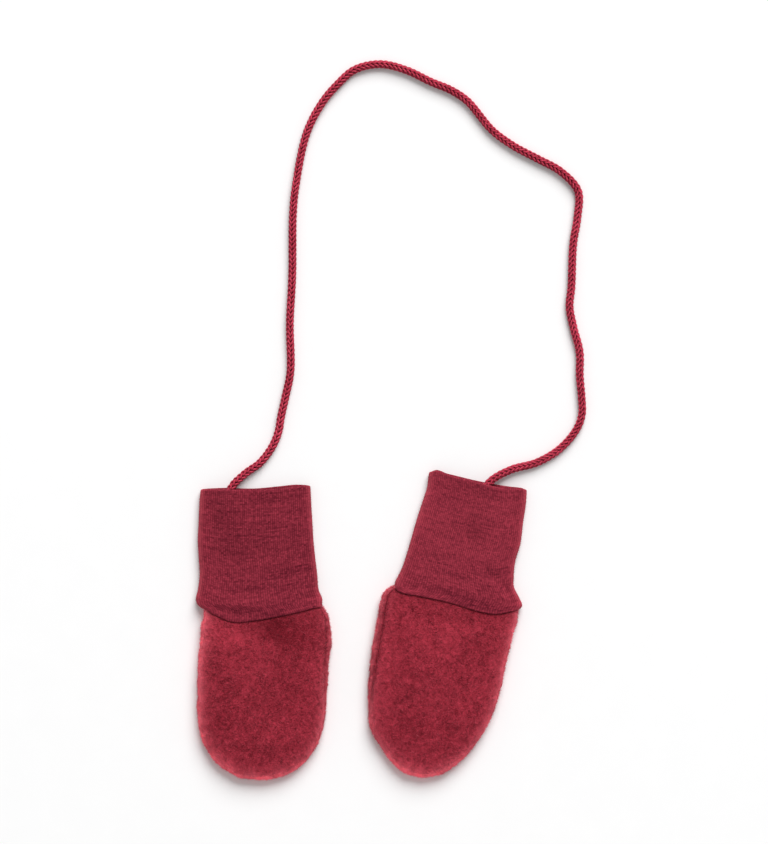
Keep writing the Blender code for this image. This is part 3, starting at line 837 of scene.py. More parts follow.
def fleece_panel(mitten, face, settings):
    """Outer surface of one fleece panel: a rounded section carried round the mitten's outline.

    The outline has straight sides and a superellipse tip. Each station's section runs from the
    sewn edge over an elliptical arc and in to the middle line. Tufts of noise stand up from it, and
    small scallops pull the sewn edge in, one for each stitch of the seam.
    """
    step = settings.front_step if face == "front" else settings.back_step
    tip = mitten.tip
    share, side, turn = outline_stations(mitten, step)
    fan = share == 1
    power = 2 / tip.roundness
    edge_seam = column(mitten.seam, "across", face, side)
    around = np.abs(np.sin(turn)) ** power
    edge_on_side = edge_seam + share * (tip.start - edge_seam)
    edge_along = np.where(fan, tip.start + (tip.end - tip.start) * around, edge_on_side)
    half_width = across_at(mitten, side, edge_along) - tip.across
    edge_across = tip.across + half_width * np.abs(np.cos(turn)) ** power

    middle_seam = column(mitten.seam, "across", face, 0.0)
    fan_along = tip.start + TIP_FAN * (tip.end - tip.start) * np.sin(turn)
    middle_along = np.where(fan, fan_along, middle_seam + share * (tip.start - middle_seam))
    middle_across = across_at(mitten, 0.0, middle_along)
    run = np.hypot(middle_across - edge_across, np.where(fan, middle_along - edge_along, 0.0))

    radius = column(mitten.depths, "along", "radius", edge_along)
    full = perimeter_at_inset(run, radius)
    left_roll = column(mitten.rolls, "along", "left", edge_along)
    right_roll = column(mitten.rolls, "along", "right", edge_along)
    rolled = np.where(side < 0, left_roll, right_roll)
    sewn = perimeter_at_inset(rolled, radius)
    left_glow, right_glow, tip_glow = mitten.rims
    painted_glow = tip_glow + (np.where(side < 0, left_glow, right_glow) - tip_glow) * np.cos(turn) ** 2
    if face == "back":
        painted_glow = painted_glow * BACK_RIM
    rows = round(float(full.max()) / step)
    way_in = np.linspace(0, 1, rows + 1)[None] ** ROW_CROWDING
    if face == "front":
        start = sewn + SEAM_GAP / 2
        perimeter = start + (full - start) * way_in
    else:
        start = sewn - SEAM_GAP / 2
        perimeter = start + (-full - start) * way_in

    walked = walked_along(np.concatenate([edge_across, edge_along], axis=1))[:, None]
    stitch = 1 - np.abs(np.sin(math.pi * walked / STITCH_PITCH))
    from_seam = np.abs(perimeter - sewn)
    groove = (PANEL_GROOVE + STITCH_PULL * stitch) * np.exp(-((from_seam / PANEL_GROOVE_REACH) ** 2))
    turned = np.minimum(np.abs(perimeter) / radius, math.pi / 2)
    inset = section_inset(perimeter, radius)
    inward = inset / run
    across = edge_across + (middle_across - edge_across) * inward
    along = edge_along + (middle_along - edge_along) * inward
    rough = to_world(mitten, across, along, perimeter)
    tufts = tuft_height(rough, settings)
    push = noise_sum(rough, EDGE_LUMPS) + tufts - EDGE_INSET - groove
    inset = inset - push * np.cos(turned)
    inward = inset / run
    share_across = side * (1 - inward)
    on_front = column(mitten.seam, "across", "front", share_across)
    seam = np.where(perimeter > 0, on_front, column(mitten.seam, "across", "back", share_across))
    start = seam + SEAM_GAP - np.where(perimeter > 0, FLEECE_UNDER * np.sin(turned) ** 2, 0.0)
    on_side = start + share * (tip.start - start)
    along = np.where(fan, edge_along + (middle_along - edge_along) * inward, on_side)
    on_tip = edge_across + (middle_across - edge_across) * inward
    across = np.where(fan, on_tip, across_at(mitten, share_across, along))
    from_cuff = np.where(fan, tip.start, along - seam)
    tuck = FLEECE_TUCK * np.exp(-((np.maximum(from_cuff + FLEECE_UNDER, 0) / FLEECE_TUCK_REACH) ** 2))
    top = cloth_top(mitten, across, along, 1 - inward) - tuck
    raised = np.where(perimeter > 0, tufts - groove, np.maximum(tufts, 0)) * np.sin(turned)
    height = section_height(perimeter, radius, top) + raised
    grid = to_world(mitten, across, along, height)

    stations = len(share)
    index = np.arange(stations * (rows + 1)).reshape(stations, rows + 1)
    index[:, -1] = np.minimum(index[:, -1], index[::-1, -1])
    from_side = section_inset(perimeter, radius)
    # Painted shade below the cuff's lip and in the creases of rolled side seams
    below_lip = np.exp(-((np.maximum(from_cuff, 0) / LIP_SHADE_REACH) ** 2))
    crease = np.minimum(rolled / CREASE_ROLL, 1) * np.exp(-((from_seam / CREASE_REACH) ** 2))
    # Painted rim highlight and painted glow: strongest at the sides, weaker in the creases, mottled by
    # noise
    painted_glow = painted_glow * (1 - crease) * (1 + noise_sum(grid, RIM_PATCHES))
    near_rim = RIM_SHARE * np.exp(-((from_side / RIM_REACH) ** 2))
    marks = {
        "rim": painted_glow * (near_rim + (1 - RIM_SHARE) * np.exp(-((from_side / GLOW_REACH) ** 2))),
        "shade": np.where(perimeter > 0, np.maximum(below_lip, crease), 0.0),
        "drift": bell_sum(mitten.patches, "tone", across, along),
    }
    return Panel(grid, index, marks, from_cuff)


def tuft_height(points, settings):
    """Height of the brushed surface: noise at three sizes, the finer ones lower."""
    return settings.tuft_height * noise_sum(points, TUFTS, settings.tuft_size)


def add_fleece_panel(mitten, face, settings, material):
    """Make one fleece panel as a closed shell."""
    panel = fleece_panel(mitten, face, settings)
    used, faces = np.unique(quads(panel.index), return_inverse=True)
    faces = faces.reshape(-1, 4)
    if face == "back":
        faces = faces[:, ::-1]
    points = panel.points.reshape(-1, 3)
    marks = {mark: values.reshape(-1)[used] for mark, values in panel.marks.items()}
    name = f"{mitten.name}_fleece_{face}"
    piece = make_piece(f"{name}_cloth", points[used], faces, material, marks)
    shell = piece.modifiers.new("Cloth thickness", "SOLIDIFY")
    shell.thickness = FLEECE_WALL * MM
    shell.offset = -1
    return piece, panel


def raised_fibres(grid, facing, weight, count, settings, lift, seed):
    """Points, faces, picked cells and tones of thin three-sided spikes, rooted at random by weight.

    A fibre leans along the cloth. Its direction turns from place to place by noise at two sizes,
    so that neighbours lie together in small locks, with a random part.
    """
    rng = np.random.default_rng(seed)
    corners = [corner.reshape(-1, 3) for corner in cell_corners(grid)]
    pick = rng.choice(weight.size, size=count, p=(weight / weight.sum()).ravel())
    a, b = rng.uniform(0, 1, (2, count, 1))
    shares = ((1 - a) * (1 - b), a * (1 - b), a * b, (1 - a) * b)
    root = sum(corner[pick] * share for corner, share in zip(corners, shares))
    normal = unit(facing.reshape(-1, 3)[pick])

    reference = np.where(np.abs(normal[:, 1:2]) < 0.9, [[0.0, 1.0, 0.0]], [[1.0, 0.0, 0.0]])
    flat_a = unit(reference - normal * np.sum(reference * normal, axis=1, keepdims=True))
    flat_b = np.cross(normal, flat_a)
    heading = noise_sum(root, FIBRE_SWIRLS) + rng.normal(0, HEADING_SPREAD, count)
    lean = flat_a * np.cos(heading)[:, None] + flat_b * np.sin(heading)[:, None]
    angle = np.radians(rng.uniform(*lift, count))[:, None]
    direction = lean * np.cos(angle) + normal * np.sin(angle)
    reach = settings.fibre_length * rng.uniform(*FIBRE_LENGTHS, (count, 1))
    radius = settings.fibre_width / 2 * rng.uniform(*FIBRE_WIDTHS, (count, 1))

    wide = unit(np.cross(direction, normal))
    deep = np.cross(direction, wide)
    base = root - normal * FIBRE_ROOT
    thirds = np.radians([90.0, 210.0, 330.0])
    ring = [base + radius * (wide * math.cos(third) + deep * math.sin(third)) for third in thirds]
    tip = root + direction * reach
    tip[:, 2] = np.maximum(tip[:, 2], LOWEST_FIBRE)
    points = np.stack([*ring, tip], axis=1).reshape(-1, 3)
    spike = np.array([[0, 2, 1], [0, 1, 3], [1, 2, 3], [2, 0, 3]])
    faces = (np.arange(count)[:, None, None] * 4 + spike).reshape(-1, 3)
    tone = 0.5 + noise_sum(root, FIBRE_LOCKS) + rng.normal(0, TONE_SPREAD, count)
    tone = np.clip(tone, 0, 1)
    return points, faces, pick, tone


def cell_normals(grid, flip):
    """Across vectors of a grid's cells, as long as twice their area, turned over where flip is -1."""
    first, second, third, fourth = cell_corners(grid)
    return np.cross(third - first, fourth - second) * flip


def add_fuzz(name, grid, facing, weight, settings, material, lift, seed):
    """Make the short loose fibres over a grid."""
    points, faces, _, tone = raised_fibres(grid, facing, weight, settings.fibres, settings, lift, seed)
    return make_piece(f"{name}_fuzz", points, faces, material, {"tone": np.repeat(tone, 4)})


def add_nap(name, panel, face, count, settings, material, seed):
    """Make one panel's raised fibres, closer together at the rims and none on the flat underside."""
    facing = cell_normals(panel.points, 1 if face == "front" else -1)
    area = np.linalg.norm(facing, axis=-1)
    weight = area * (unit(facing)[..., 2] > LOWEST_FACING)
    crowding = 1 + RIM_CROWDING * panel.marks["rim"][:-1, :-1] ** 2
    weight = weight * crowding * (panel.from_cuff[:-1, :-1] > NAP_START)
    points, faces, pick, tone = raised_fibres(
        panel.points, facing, weight, count, settings, NAP_LIFT, seed
    )
    marks = {mark: np.repeat(values[:-1, :-1].ravel()[pick], 4) for mark, values in panel.marks.items()}
    marks["tone"] = np.repeat(tone, 4)
    return make_piece(f"{name}_nap", points, faces, material, marks)


# Cuffs


def cuff_ring(columns):
    """Places round a cuff from its left side over the front to the right and back under it.

    Each has its side, its face (1 front, -1 back) and its share of the way in from the side.
    """
    quarter = columns // 4
    steps = np.linspace(0, 1, quarter + 1)
    share = np.concatenate([steps, steps[-2::-1], steps[1:], steps[-2:0:-1]])
    place = np.arange(columns)
    side = np.where((place < quarter) | (place >= 3 * quarter), -1.0, 1.0)
    face = np.where(place <= 2 * quarter, 1.0, -1.0)
    return share[None], side[None], face[None]


def cuff_surface(mitten, columns, down):
    """Outer surface of a cuff: for each share of the way down from the mouth, a closed flat section.

    The lower edge of the front rises a little, as a lip over the fleece.
    """
    share, side, face = cuff_ring(columns)

    def line(rows, across):
        on_front = column(rows, "across", "front", across)
        return np.where(face > 0, on_front, column(rows, "across", "back", across))

    side_mouth = line(mitten.mouth, side) + MOUTH_RADIUS
    side_along = side_mouth + down * (line(mitten.seam, side) - side_mouth)
    half = (across_at(mitten, 1.0, side_along) - across_at(mitten, -1.0, side_along)) / 2
    radius = column(mitten.depths, "along", "radius", side_along)
    perimeter = share * perimeter_at_inset(half, radius)
    across_share = side * (1 - section_inset(perimeter, radius) / half)

    mouth = line(mitten.mouth, across_share) + MOUTH_RADIUS
    end = line(mitten.seam, across_share) - LIP_RADIUS
    along = mouth + down * (end - mouth)
    across = across_at(mitten, across_share, along)
    top = cloth_top(mitten, across, along, across_share)
    into_cuff = (along - mouth) / CORD_HUMP_LENGTH
    from_cord = (across - mitten.cord_at) / CORD_HUMP_REACH
    top = top + CORD_HUMP * np.exp(-(from_cord**2) - into_cuff**4)
    top = top + LIP_RISE * np.exp(-(((end - along) / LIP_REACH) ** 2))
    height = section_height(face * perimeter, radius, top)
    from_side = section_inset(perimeter, radius)
    # Painted rim highlight along the cuff's sides
    marks = {
        "rim": np.where(side < 0, *mitten.rims[:2]) * np.exp(-((from_side / CUFF_RIM_REACH) ** 2)),
        "drift": bell_sum(mitten.patches, "tone", across, along),
    }
    return to_world(mitten, across, along, height), marks


def ring_normals(grid):
    """Outward normals of a grid of closed rings, from its own differences."""
    round_it = np.roll(grid, -1, axis=1) - np.roll(grid, 1, axis=1)
    return unit(np.cross(np.gradient(grid, axis=0), round_it))


def add_cuff(mitten, settings):
    """Make one cuff as a closed doubled tube.

    Its profile runs down the outside, round the lip, up the inside and over the fold at the mouth.
    Grooves between the columns of stitches sink into the outside by a raised cosine.
    """
    columns = settings.wales * settings.wale_points
    down = np.linspace(0, 1, settings.rows + 1)[:, None]
    grid, marks = cuff_surface(mitten, columns, down)
    normal = ring_normals(grid)
    wale = np.arange(columns)[None] / settings.wale_points
    uneven = GROOVE_SHARE + noise_sum(grid, GROOVE_PATCHES)
    groove = settings.groove * uneven * (0.5 + 0.5 * np.cos(2 * math.pi * wale))
    outside = grid - normal * groove[..., None]

    def turn_back(row, before, radius):
        """Half a circle from the outside to the inside past one end."""
        past = unit(grid[row] - grid[before])
        angles = np.linspace(0, math.pi, EDGE_STEPS + 2)[1:-1, None, None]
        centre = outside[row] - normal[row] * radius
        return centre + radius * (normal[row] * np.cos(angles) + past * np.sin(angles))

    lip = turn_back(-1, -2, LIP_RADIUS)
    fold = turn_back(0, 1, MOUTH_RADIUS)[::-1]
    inner_down = np.linspace(INNER_END, 0.0, INNER_ROWS)[:, None]
    inner_grid, _ = cuff_surface(mitten, columns, inner_down)
    inner = inner_grid - ring_normals(inner_grid[::-1])[::-1] * CUFF_WALL
    profile = np.concatenate([outside, lip, inner, fold])
    turned_in = EDGE_STEPS + INNER_ROWS // 2
    for mark, values in marks.items():
        below = values[-1:].repeat(turned_in, 0)
        above = values[:1].repeat(turned_in, 0)
        marks[mark] = np.concatenate([values, below, above]).ravel()
    profile[..., 2] = np.maximum(profile[..., 2], 0.0)

    rows = len(profile)
    index = np.arange(rows * columns).reshape(rows, columns)
    index = np.concatenate([index, index[:, :1]], axis=1)
    index = np.concatenate([index, index[:1]], axis=0)
    middle = settings.rows // 2
    step_round = np.linalg.norm(np.roll(grid[middle], -1, axis=0) - grid[middle], axis=-1).mean()
    steps = np.diff(profile, axis=0, append=profile[:1])
    walked = np.concatenate([[0], np.cumsum(np.linalg.norm(steps, axis=-1).mean(axis=1))])
    uv = grid_uv(np.arange(columns + 1) * step_round, walked).reshape(-1, 2)
    wale_width = step_round * settings.wale_points
    material = jersey_material(f"{mitten.name.capitalize()} jersey", settings, wale_width)
    points = profile.reshape(-1, 3)
    piece = make_piece(f"{mitten.name}_cuff_cloth", points, quads(index), material, marks, uv * MM)
    return piece, outside


def add_cuff_fuzz(name, outside, settings, material, seed):
    """Make the short loose fibres over the outside of one cuff."""
    grid = np.concatenate([outside, outside[:, :1]], axis=1)
    facing = cell_normals(grid, 1)
    weight = np.linalg.norm(facing, axis=-1) * (unit(facing)[..., 2] > LOWEST_FACING)
    return add_fuzz(name, grid, facing, weight, settings, material, CUFF_FUZZ_LIFT, seed)


# Cord


def cord_line():
    """Fine points on the smooth curve through the cord's route, with the length walked to each."""
    route = np.array(ROUTE, float)
    chords = np.linalg.norm(np.diff(route, axis=0), axis=1)
    knots = np.concatenate([[0], np.cumsum(np.sqrt(chords))])
    fine = np.linspace(0, knots[-1], ROUTE_SAMPLES)
    curve = np.stack([smooth(fine, knots, route[:, axis]) for axis in range(3)], axis=1)
    return curve, walked_along(curve)


def cord_frame(at):
    """Point, sideways and upward directions of the cord at lengths along it."""
    curve, walked = cord_line()
    ahead = unit(np.gradient(curve, axis=0))
    point = np.stack([np.interp(at, walked, curve[:, axis]) for axis in range(3)], axis=-1)
    ahead = unit(np.stack([np.interp(at, walked, ahead[:, axis]) for axis in range(3)], axis=-1))
    sideways = unit(np.cross([0.0, 0.0, 1.0], ahead))
    return point, sideways, np.cross(ahead, sideways)


def tube(centres, radius, sides, out):
    """Points of a tube round a line: rings square to it, started from the outward directions."""
    ahead = unit(np.gradient(centres, axis=0))
    first = unit(out - ahead * np.sum(out * ahead, axis=-1, keepdims=True))
    second = np.cross(ahead, first)
    angles = np.arange(sides)[:, None] * 2 * math.pi / sides
    ring = first[:, None] * np.cos(angles) + second[:, None] * np.sin(angles)
    return (centres[:, None] + radius * ring).reshape(-1, 3)


def cord_meshes(settings):
    """Points and faces of the cord as one yarn knitted round and round, and of a plain core in it.

    Counted in stitches, the yarn walks round the tube by one wale each, with a sideways sway of
    twice the frequency that turns its legs into a V. It rises and falls along the cord by a
    cosine, and its legs stand a little further out than its heads and feet.
    """
    _, walked = cord_line()
    length = walked[-1]
    knitted = length - 2 * CORD_END
    courses = round(knitted / settings.course)
    stitches = courses * settings.wales
    count = stitches * settings.loop_points + 1
    stitch = np.linspace(0, stitches, count)
    phase = 2 * math.pi * stitch
    along = CORD_END + knitted * stitch / stitches + LOOP_HEIGHT * settings.course * np.cos(phase)
    twist = math.pi / 2 + sum(wave.swing * np.sin(along / wave.length + wave.start) for wave in CORD_TWIST)
    angle = 2 * math.pi / settings.wales * (stitch + LOOP_SWAY * np.sin(2 * phase)) + twist
    deep = (1 + np.cos(2 * phase)) / 2
    out_by = CORD_OUTER - settings.yarn_radius - LOOP_DEPTH * deep
    point, sideways, up = cord_frame(along)
    out = sideways * np.cos(angle)[:, None] + up * np.sin(angle)[:, None]
    centres = point + out * out_by[:, None]
    points = tube(centres, settings.yarn_radius, settings.yarn_sides, out)
    faces = tube_faces(count, settings.yarn_sides)
    uv = grid_uv(np.arange(settings.yarn_sides + 1) / settings.yarn_sides, walked_along(centres))
    uv = np.concatenate([uv[:, ::-1].reshape(-1, 2), np.zeros((4 * (len(faces) - len(uv)), 2))])

    core_at = np.linspace(0, length, round(length / PATH_STEP) + 1)
    path, core_side, _ = cord_frame(core_at)
    core_points = tube(path, CORE_RADIUS, CORE_SIDES, core_side)
    deep = np.repeat(deep, settings.yarn_sides)
    return points, faces, uv, deep, core_points, tube_faces(len(path), CORE_SIDES), path


def add_cord_fuzz(settings, material):
    """Make the short loose fibres all round the cord."""
    _, walked = cord_line()
    at = np.arange(CORD_END, walked[-1] - CORD_END, FUZZ_STEP)
    path, sideways, up = cord_frame(at)
    angles = np.linspace(0, 2 * math.pi, CORE_SIDES + 1)[None, :, None]
    ring = sideways[:, None] * np.cos(angles) + up[:, None] * np.sin(angles)
    grid = path[:, None] + (CORD_OUTER - FUZZ_DEPTH) * ring
    facing = cell_normals(grid, -1)
    weight = np.linalg.norm(facing, axis=-1)
    return add_fuzz("cord", grid, facing, weight, settings, material, CORD_FUZZ_LIFT, CORD_FUZZ_SEED)


# Materials

WOOL_SPECULAR = 0.06
WOOL_SHEEN = (1.0, 0.36, 0.42, 1.0)
PATCH_CONTRAST = 0.35
FIBRE_MIDDLE_TONE = 0.45
# Painted shade: noise level where a groove stays clear, the most darkening, the darkest share of the dark
# wool, and the share deep in the cord
GROOVE_CLEAR = 0.1
GROOVE_MOST = 0.8
GROOVE_PAINTED_SHADE = 0.35
DEEP_PAINTED_SHADE = 0.3

# Cloud: how fine and how detailed one noise of the mixed wool is, and the input that sets its contrast
Cloud = namedtuple("Cloud", "scale detail contrast")
WOOL_CLOUDS = (
    Cloud(34.0, 2.0, "Drift Contrast"),
    Cloud(260.0, 3.0, "Patch Contrast"),
    Cloud(1150.0, 3.0, "Fleck Contrast"),
)

# Streak: what one noise of the knitted wool runs over each way, how fine it is, and its contrast
Streak = namedtuple("Streak", "across across_scale along along_scale contrast")
KNIT_STREAKS = (
    Streak("X", 38.0, "course", 7.31, "Streaks"),
    Streak("X", 20.0, "Y", 380.0, "Wide Streaks"),
    Streak("wale", 5.17, "Y", 130.0, "Columns"),
    Streak("X", 500.0, "Y", 1700.0, "Flecks"),
)


def add_node(tree, kind, inputs=None, **settings):
    """Add one node: settings are its own options, an input is a value or another node's output."""
    node = tree.nodes.new(kind)
    for name, value in settings.items():
        setattr(node, name, value)
    for name, value in (inputs or {}).items():
        if isinstance(value, bpy.types.NodeSocket):
            tree.links.new(value, node.inputs[name])
        else:
            node.inputs[name].default_value = value
    return node


def maths(tree, operation, *values):
    """Output of one Math node."""
    return add_node(tree, "ShaderNodeMath", dict(enumerate(values)), operation=operation).outputs[0]


def mix_colour(tree, factor, first, second):
    """Output of one Mix node for colours."""
    inputs = {0: factor, 6: first, 7: second}
    return add_node(tree, "ShaderNodeMix", inputs, data_type="RGBA").outputs[2]


def darker(colour, share):
    """A colour at a share of its brightness."""
    return (*(share * part for part in colour), 1)


def wool(tree, tone, settings):
    """Colour of a tone between the dark and the light wool."""
    return mix_colour(tree, tone, (*settings.dark, 1), (*settings.light, 1))


def noise(tree, place, scale, detail, **inputs):
    """Output of one Noise Texture node."""
    inputs = {"Vector": place, "Scale": scale, "Detail": detail, **inputs}
    return add_node(tree, "ShaderNodeTexNoise", inputs).outputs["Fac"]


def swing(tree, value, middle, contrast):
    """How far a value lies from its middle, times a contrast."""
    return maths(tree, "MULTIPLY", maths(tree, "SUBTRACT", value, middle), contrast)


def clamp(tree, value, most=1.0):
    """A value kept between 0 and the most."""
    return add_node(tree, "ShaderNodeClamp", {"Value": value, "Max": most}).outputs[0]


def new_group(name, inputs, outputs):
    """Start a shader node group from its inputs' defaults, None for a vector, and outputs' names."""
    tree = bpy.data.node_groups.new(name, "ShaderNodeTree")
    for socket, default in inputs.items():
        kind = "NodeSocketVector" if default is None else "NodeSocketFloat"
        made = tree.interface.new_socket(socket, in_out="INPUT", socket_type=kind)
        if default is not None:
            made.default_value = default
    for socket in outputs:
        tree.interface.new_socket(socket, in_out="OUTPUT", socket_type="NodeSocketFloat")
    return tree, tree.nodes.new("NodeGroupInput").outputs, tree.nodes.new("NodeGroupOutput").inputs


def melange_group():
    """Mixed dark and light wool: wide drifts, soft patches in them, and small flecks of fibres."""
    if "Wool melange" in bpy.data.node_groups:
        return bpy.data.node_groups["Wool melange"]
    tree, given, result = new_group(
        "Wool melange",
        {
            "Vector": None,
            "Drift Contrast": 0.6,
            "Patch Contrast": 1.2,
            "Fleck Contrast": 1.0,
        },
        ["Tone"],
    )
    tone = 0.5
    for cloud in WOOL_CLOUDS:
        lightness = noise(tree, given["Vector"], cloud.scale, cloud.detail, Roughness=0.6)
        tone = maths(tree, "ADD", swing(tree, lightness, 0.5, given[cloud.contrast]), tone)
    tree.links.new(clamp(tree, tone), result["Tone"])
    return tree


def knit_melange_group():
    """Mixed wool in plain knitting, as a tone.

    Each row of stitches has its own streaks, because its yarn changes along its length. Wider
    streaks take in some rows, some columns are lighter or darker for a stretch, and each stitch
    has a small random part.
    """
    if "Knitted melange" in bpy.data.node_groups:
        return bpy.data.node_groups["Knitted melange"]
    tree, given, result = new_group(
        "Knitted melange",
        {
            "Vector": None,
            "Wale": 0.00115,
            "Course": 0.0009,
            "Streaks": 1.0,
            "Wide Streaks": 1.0,
            "Columns": 1.0,
            "Stitches": 0.2,
            "Flecks": 0.5,
        },
        ["Tone"],
    )
    place = add_node(tree, "ShaderNodeSeparateXYZ", {"Vector": given["Vector"]}).outputs
    wale = maths(tree, "FLOOR", maths(tree, "DIVIDE", place["X"], given["Wale"]))
    course = maths(tree, "FLOOR", maths(tree, "DIVIDE", place["Y"], given["Course"]))
    runs = {"X": place["X"], "Y": place["Y"], "wale": wale, "course": course}
    tone = 0.5
    for streak in KNIT_STREAKS:
        x = maths(tree, "MULTIPLY", runs[streak.across], streak.across_scale)
        y = maths(tree, "MULTIPLY", runs[streak.along], streak.along_scale)
        at = add_node(tree, "ShaderNodeCombineXYZ", {"X": x, "Y": y}).outputs[0]
        lightness = noise(tree, at, 1.0, 2.0, Roughness=0.6)
        tone = maths(tree, "ADD", swing(tree, lightness, 0.5, given[streak.contrast]), tone)
    cell = add_node(tree, "ShaderNodeCombineXYZ", {"X": wale, "Y": course}).outputs[0]
    stitch = add_node(tree, "ShaderNodeTexWhiteNoise", {"Vector": cell}).outputs["Value"]
    tone = maths(tree, "ADD", swing(tree, stitch, 0.5, given["Stitches"]), tone)
    tree.links.new(clamp(tree, tone), result["Tone"])
    return tree


def stitch_group():
    """Plain knitting: columns of V-shaped stitches, as a height and as the groove between columns.

    A wale's two legs lean away from its middle line, which is a fine valley. The height falls to
    the groove by a parabola and waves along each leg once a course.
    """
    if "Jersey stitches" in bpy.data.node_groups:
        return bpy.data.node_groups["Jersey stitches"]
    tree, given, result = new_group(
        "Jersey stitches",
        {
            "Vector": None,
            "Wale": 0.00115,
            "Course": 0.00085,
            "Lean": 0.7,
        },
        ["Height", "Groove"],
    )
    place = add_node(tree, "ShaderNodeSeparateXYZ", {"Vector": given["Vector"]}).outputs
    wale = maths(tree, "FRACT", maths(tree, "DIVIDE", place["X"], given["Wale"]))
    out = maths(tree, "MULTIPLY", maths(tree, "ABSOLUTE", maths(tree, "SUBTRACT", wale, 0.5)), 2.0)
    row = maths(tree, "DIVIDE", place["Y"], given["Course"])
    leg = maths(tree, "ADD", row, maths(tree, "MULTIPLY", out, given["Lean"]))
    wave = maths(tree, "COSINE", maths(tree, "MULTIPLY", leg, 2 * math.pi))
    ridge = maths(tree, "SUBTRACT", 1.0, maths(tree, "POWER", out, 2.5))
    valley = maths(tree, "MINIMUM", maths(tree, "MULTIPLY", out, 4.0), 1.0)
    valley = maths(tree, "ADD", maths(tree, "MULTIPLY", valley, 0.35), 0.65)
    wave = maths(tree, "ADD", maths(tree, "MULTIPLY", wave, 0.22), 0.78)
    height = maths(tree, "MULTIPLY", maths(tree, "MULTIPLY", ridge, valley), wave)
    tree.links.new(height, result["Height"])
    tree.links.new(maths(tree, "POWER", out, 3.0), result["Groove"])
    return tree


def fuzz_group():
    """Fine curled fibres over any wool, as a height for the bump."""
    if "Wool fuzz" in bpy.data.node_groups:
        return bpy.data.node_groups["Wool fuzz"]
    tree, given, result = new_group(
        "Wool fuzz",
        {"Vector": None, "Fibres": 1400.0},
        ["Height"],
    )
    curls = noise(tree, given["Vector"], given["Fibres"], 4.0, Roughness=0.7, Distortion=2.0)
    tree.links.new(curls, result["Height"])
    return tree


def start_material(name, roughness, sheen=0.0):
    """A new material with its shader's even values set."""
    material = bpy.data.materials.new(name)
    material.use_nodes = True
    tree = material.node_tree
    shader = tree.nodes["Principled BSDF"]
    shader.inputs["Roughness"].default_value = roughness
    shader.inputs["Specular IOR Level"].default_value = WOOL_SPECULAR
    shader.inputs["Sheen Weight"].default_value = sheen
    shader.inputs["Sheen Roughness"].default_value = 0.4
    shader.inputs["Sheen Tint"].default_value = WOOL_SHEEN
    return material, tree, shader


def attribute(tree, name):
    """Value of a mark on the mesh."""
    return add_node(tree, "ShaderNodeAttribute", attribute_name=name).outputs["Fac"]


def wool_bump(tree, shader, height, strength, distance):
    """Feed a height through one Bump node."""
    bump = add_node(tree, "ShaderNodeBump", {"Height": height, "Strength": strength, "Distance": distance})
    tree.links.new(bump.outputs["Normal"], shader.inputs["Normal"])


def object_place(tree):
    """The place on the object."""
    return add_node(tree, "ShaderNodeTexCoord").outputs["Object"]


def drifted(tree, tone):
    """A tone with the mesh's own listed patches added, lighter or darker; some are painted shade along the
    cuffs' lips and some painted highlight along the rims.
    """
    return maths(tree, "ADD", tone, maths(tree, "MULTIPLY", attribute(tree, "drift"), PATCH_CONTRAST))


def with_painted_rims(tree, settings, colour):
    """A colour with a painted rim highlight: lighter towards the rims, standing in for sheen and light
    through the loose nap.
    """
    rim = maths(tree, "MULTIPLY", attribute(tree, "rim"), settings.painted_rim_strength)
    return mix_colour(tree, rim, colour, (*settings.rim, 1))


def fleece_tone(tree, settings, flecks):
    """Tone of the mixed wool of the fleece."""
    inputs = {
        "Vector": object_place(tree),
        "Drift Contrast": settings.drifts,
        "Patch Contrast": settings.patches,
        "Fleck Contrast": flecks,
    }
    return add_node(tree, "ShaderNodeGroup", inputs, node_tree=melange_group()).outputs["Tone"]


def fleece_colour(tree, settings, tone):
    """Fleece of a tone, with a painted rim highlight and painted shade under the cuff's lip and in the
    seams' creases.
    """
    colour = with_painted_rims(tree, settings, wool(tree, clamp(tree, drifted(tree, tone)), settings))
    # Painted shade below the cuff's lip and in the seams' creases
    painted_shade = maths(tree, "MULTIPLY", attribute(tree, "shade"), settings.lip_shade)
    return mix_colour(tree, painted_shade, colour, (*settings.dark, 1))


def painted_rim_glow(tree, shader, settings):
    """Painted glow at the rims: an emission that stands in for light through the loose nap, though no lamp
    is there.
    """
    painted_glow = {"Vector": tuple(settings.painted_glow), "Scale": attribute(tree, "rim")}
    painted_glow = add_node(tree, "ShaderNodeVectorMath", painted_glow, operation="SCALE").outputs["Vector"]
    tree.links.new(painted_glow, shader.inputs["Emission Color"])
    shader.inputs["Emission Strength"].default_value = 1.0


def fleece_material(settings):
    """Brushed fleece: mottled wool over a bump of fine curled fibres, with a painted rim highlight and
    glow and painted shade under the cuff's lip.
    """
    material, tree, shader = start_material("Brushed fleece", roughness=0.95, sheen=0.4)
    painted_rim_glow(tree, shader, settings)
    tone = fleece_tone(tree, settings, settings.flecks)
    tree.links.new(fleece_colour(tree, settings, tone), shader.inputs["Base Color"])
    fuzz = add_node(tree, "ShaderNodeGroup", {"Vector": object_place(tree)}, node_tree=fuzz_group())
    wool_bump(tree, shader, fuzz.outputs["Height"], strength=0.8, distance=0.0006)
    return material


def nap_material(settings):
    """Raised fibres of the fleece: each has its own tone, over the drifts of the cloth, with the same
    painted rim highlight, glow and shade.
    """
    material, tree, shader = start_material("Raised nap", roughness=0.9, sheen=0.4)
    painted_rim_glow(tree, shader, settings)
    own = swing(tree, attribute(tree, "tone"), FIBRE_MIDDLE_TONE, settings.fibre_contrast)
    tone = maths(tree, "ADD", fleece_tone(tree, settings, 0.0), own)
    tree.links.new(fleece_colour(tree, settings, tone), shader.inputs["Base Color"])
    return material


def fibre_material(name, settings):
    """Loose fibres of the jersey: each has its own tone between the dark and the light wool."""
    material, tree, shader = start_material(name, roughness=0.9, sheen=0.12)
    tree.links.new(wool(tree, attribute(tree, "tone"), settings), shader.inputs["Base Color"])
    return material


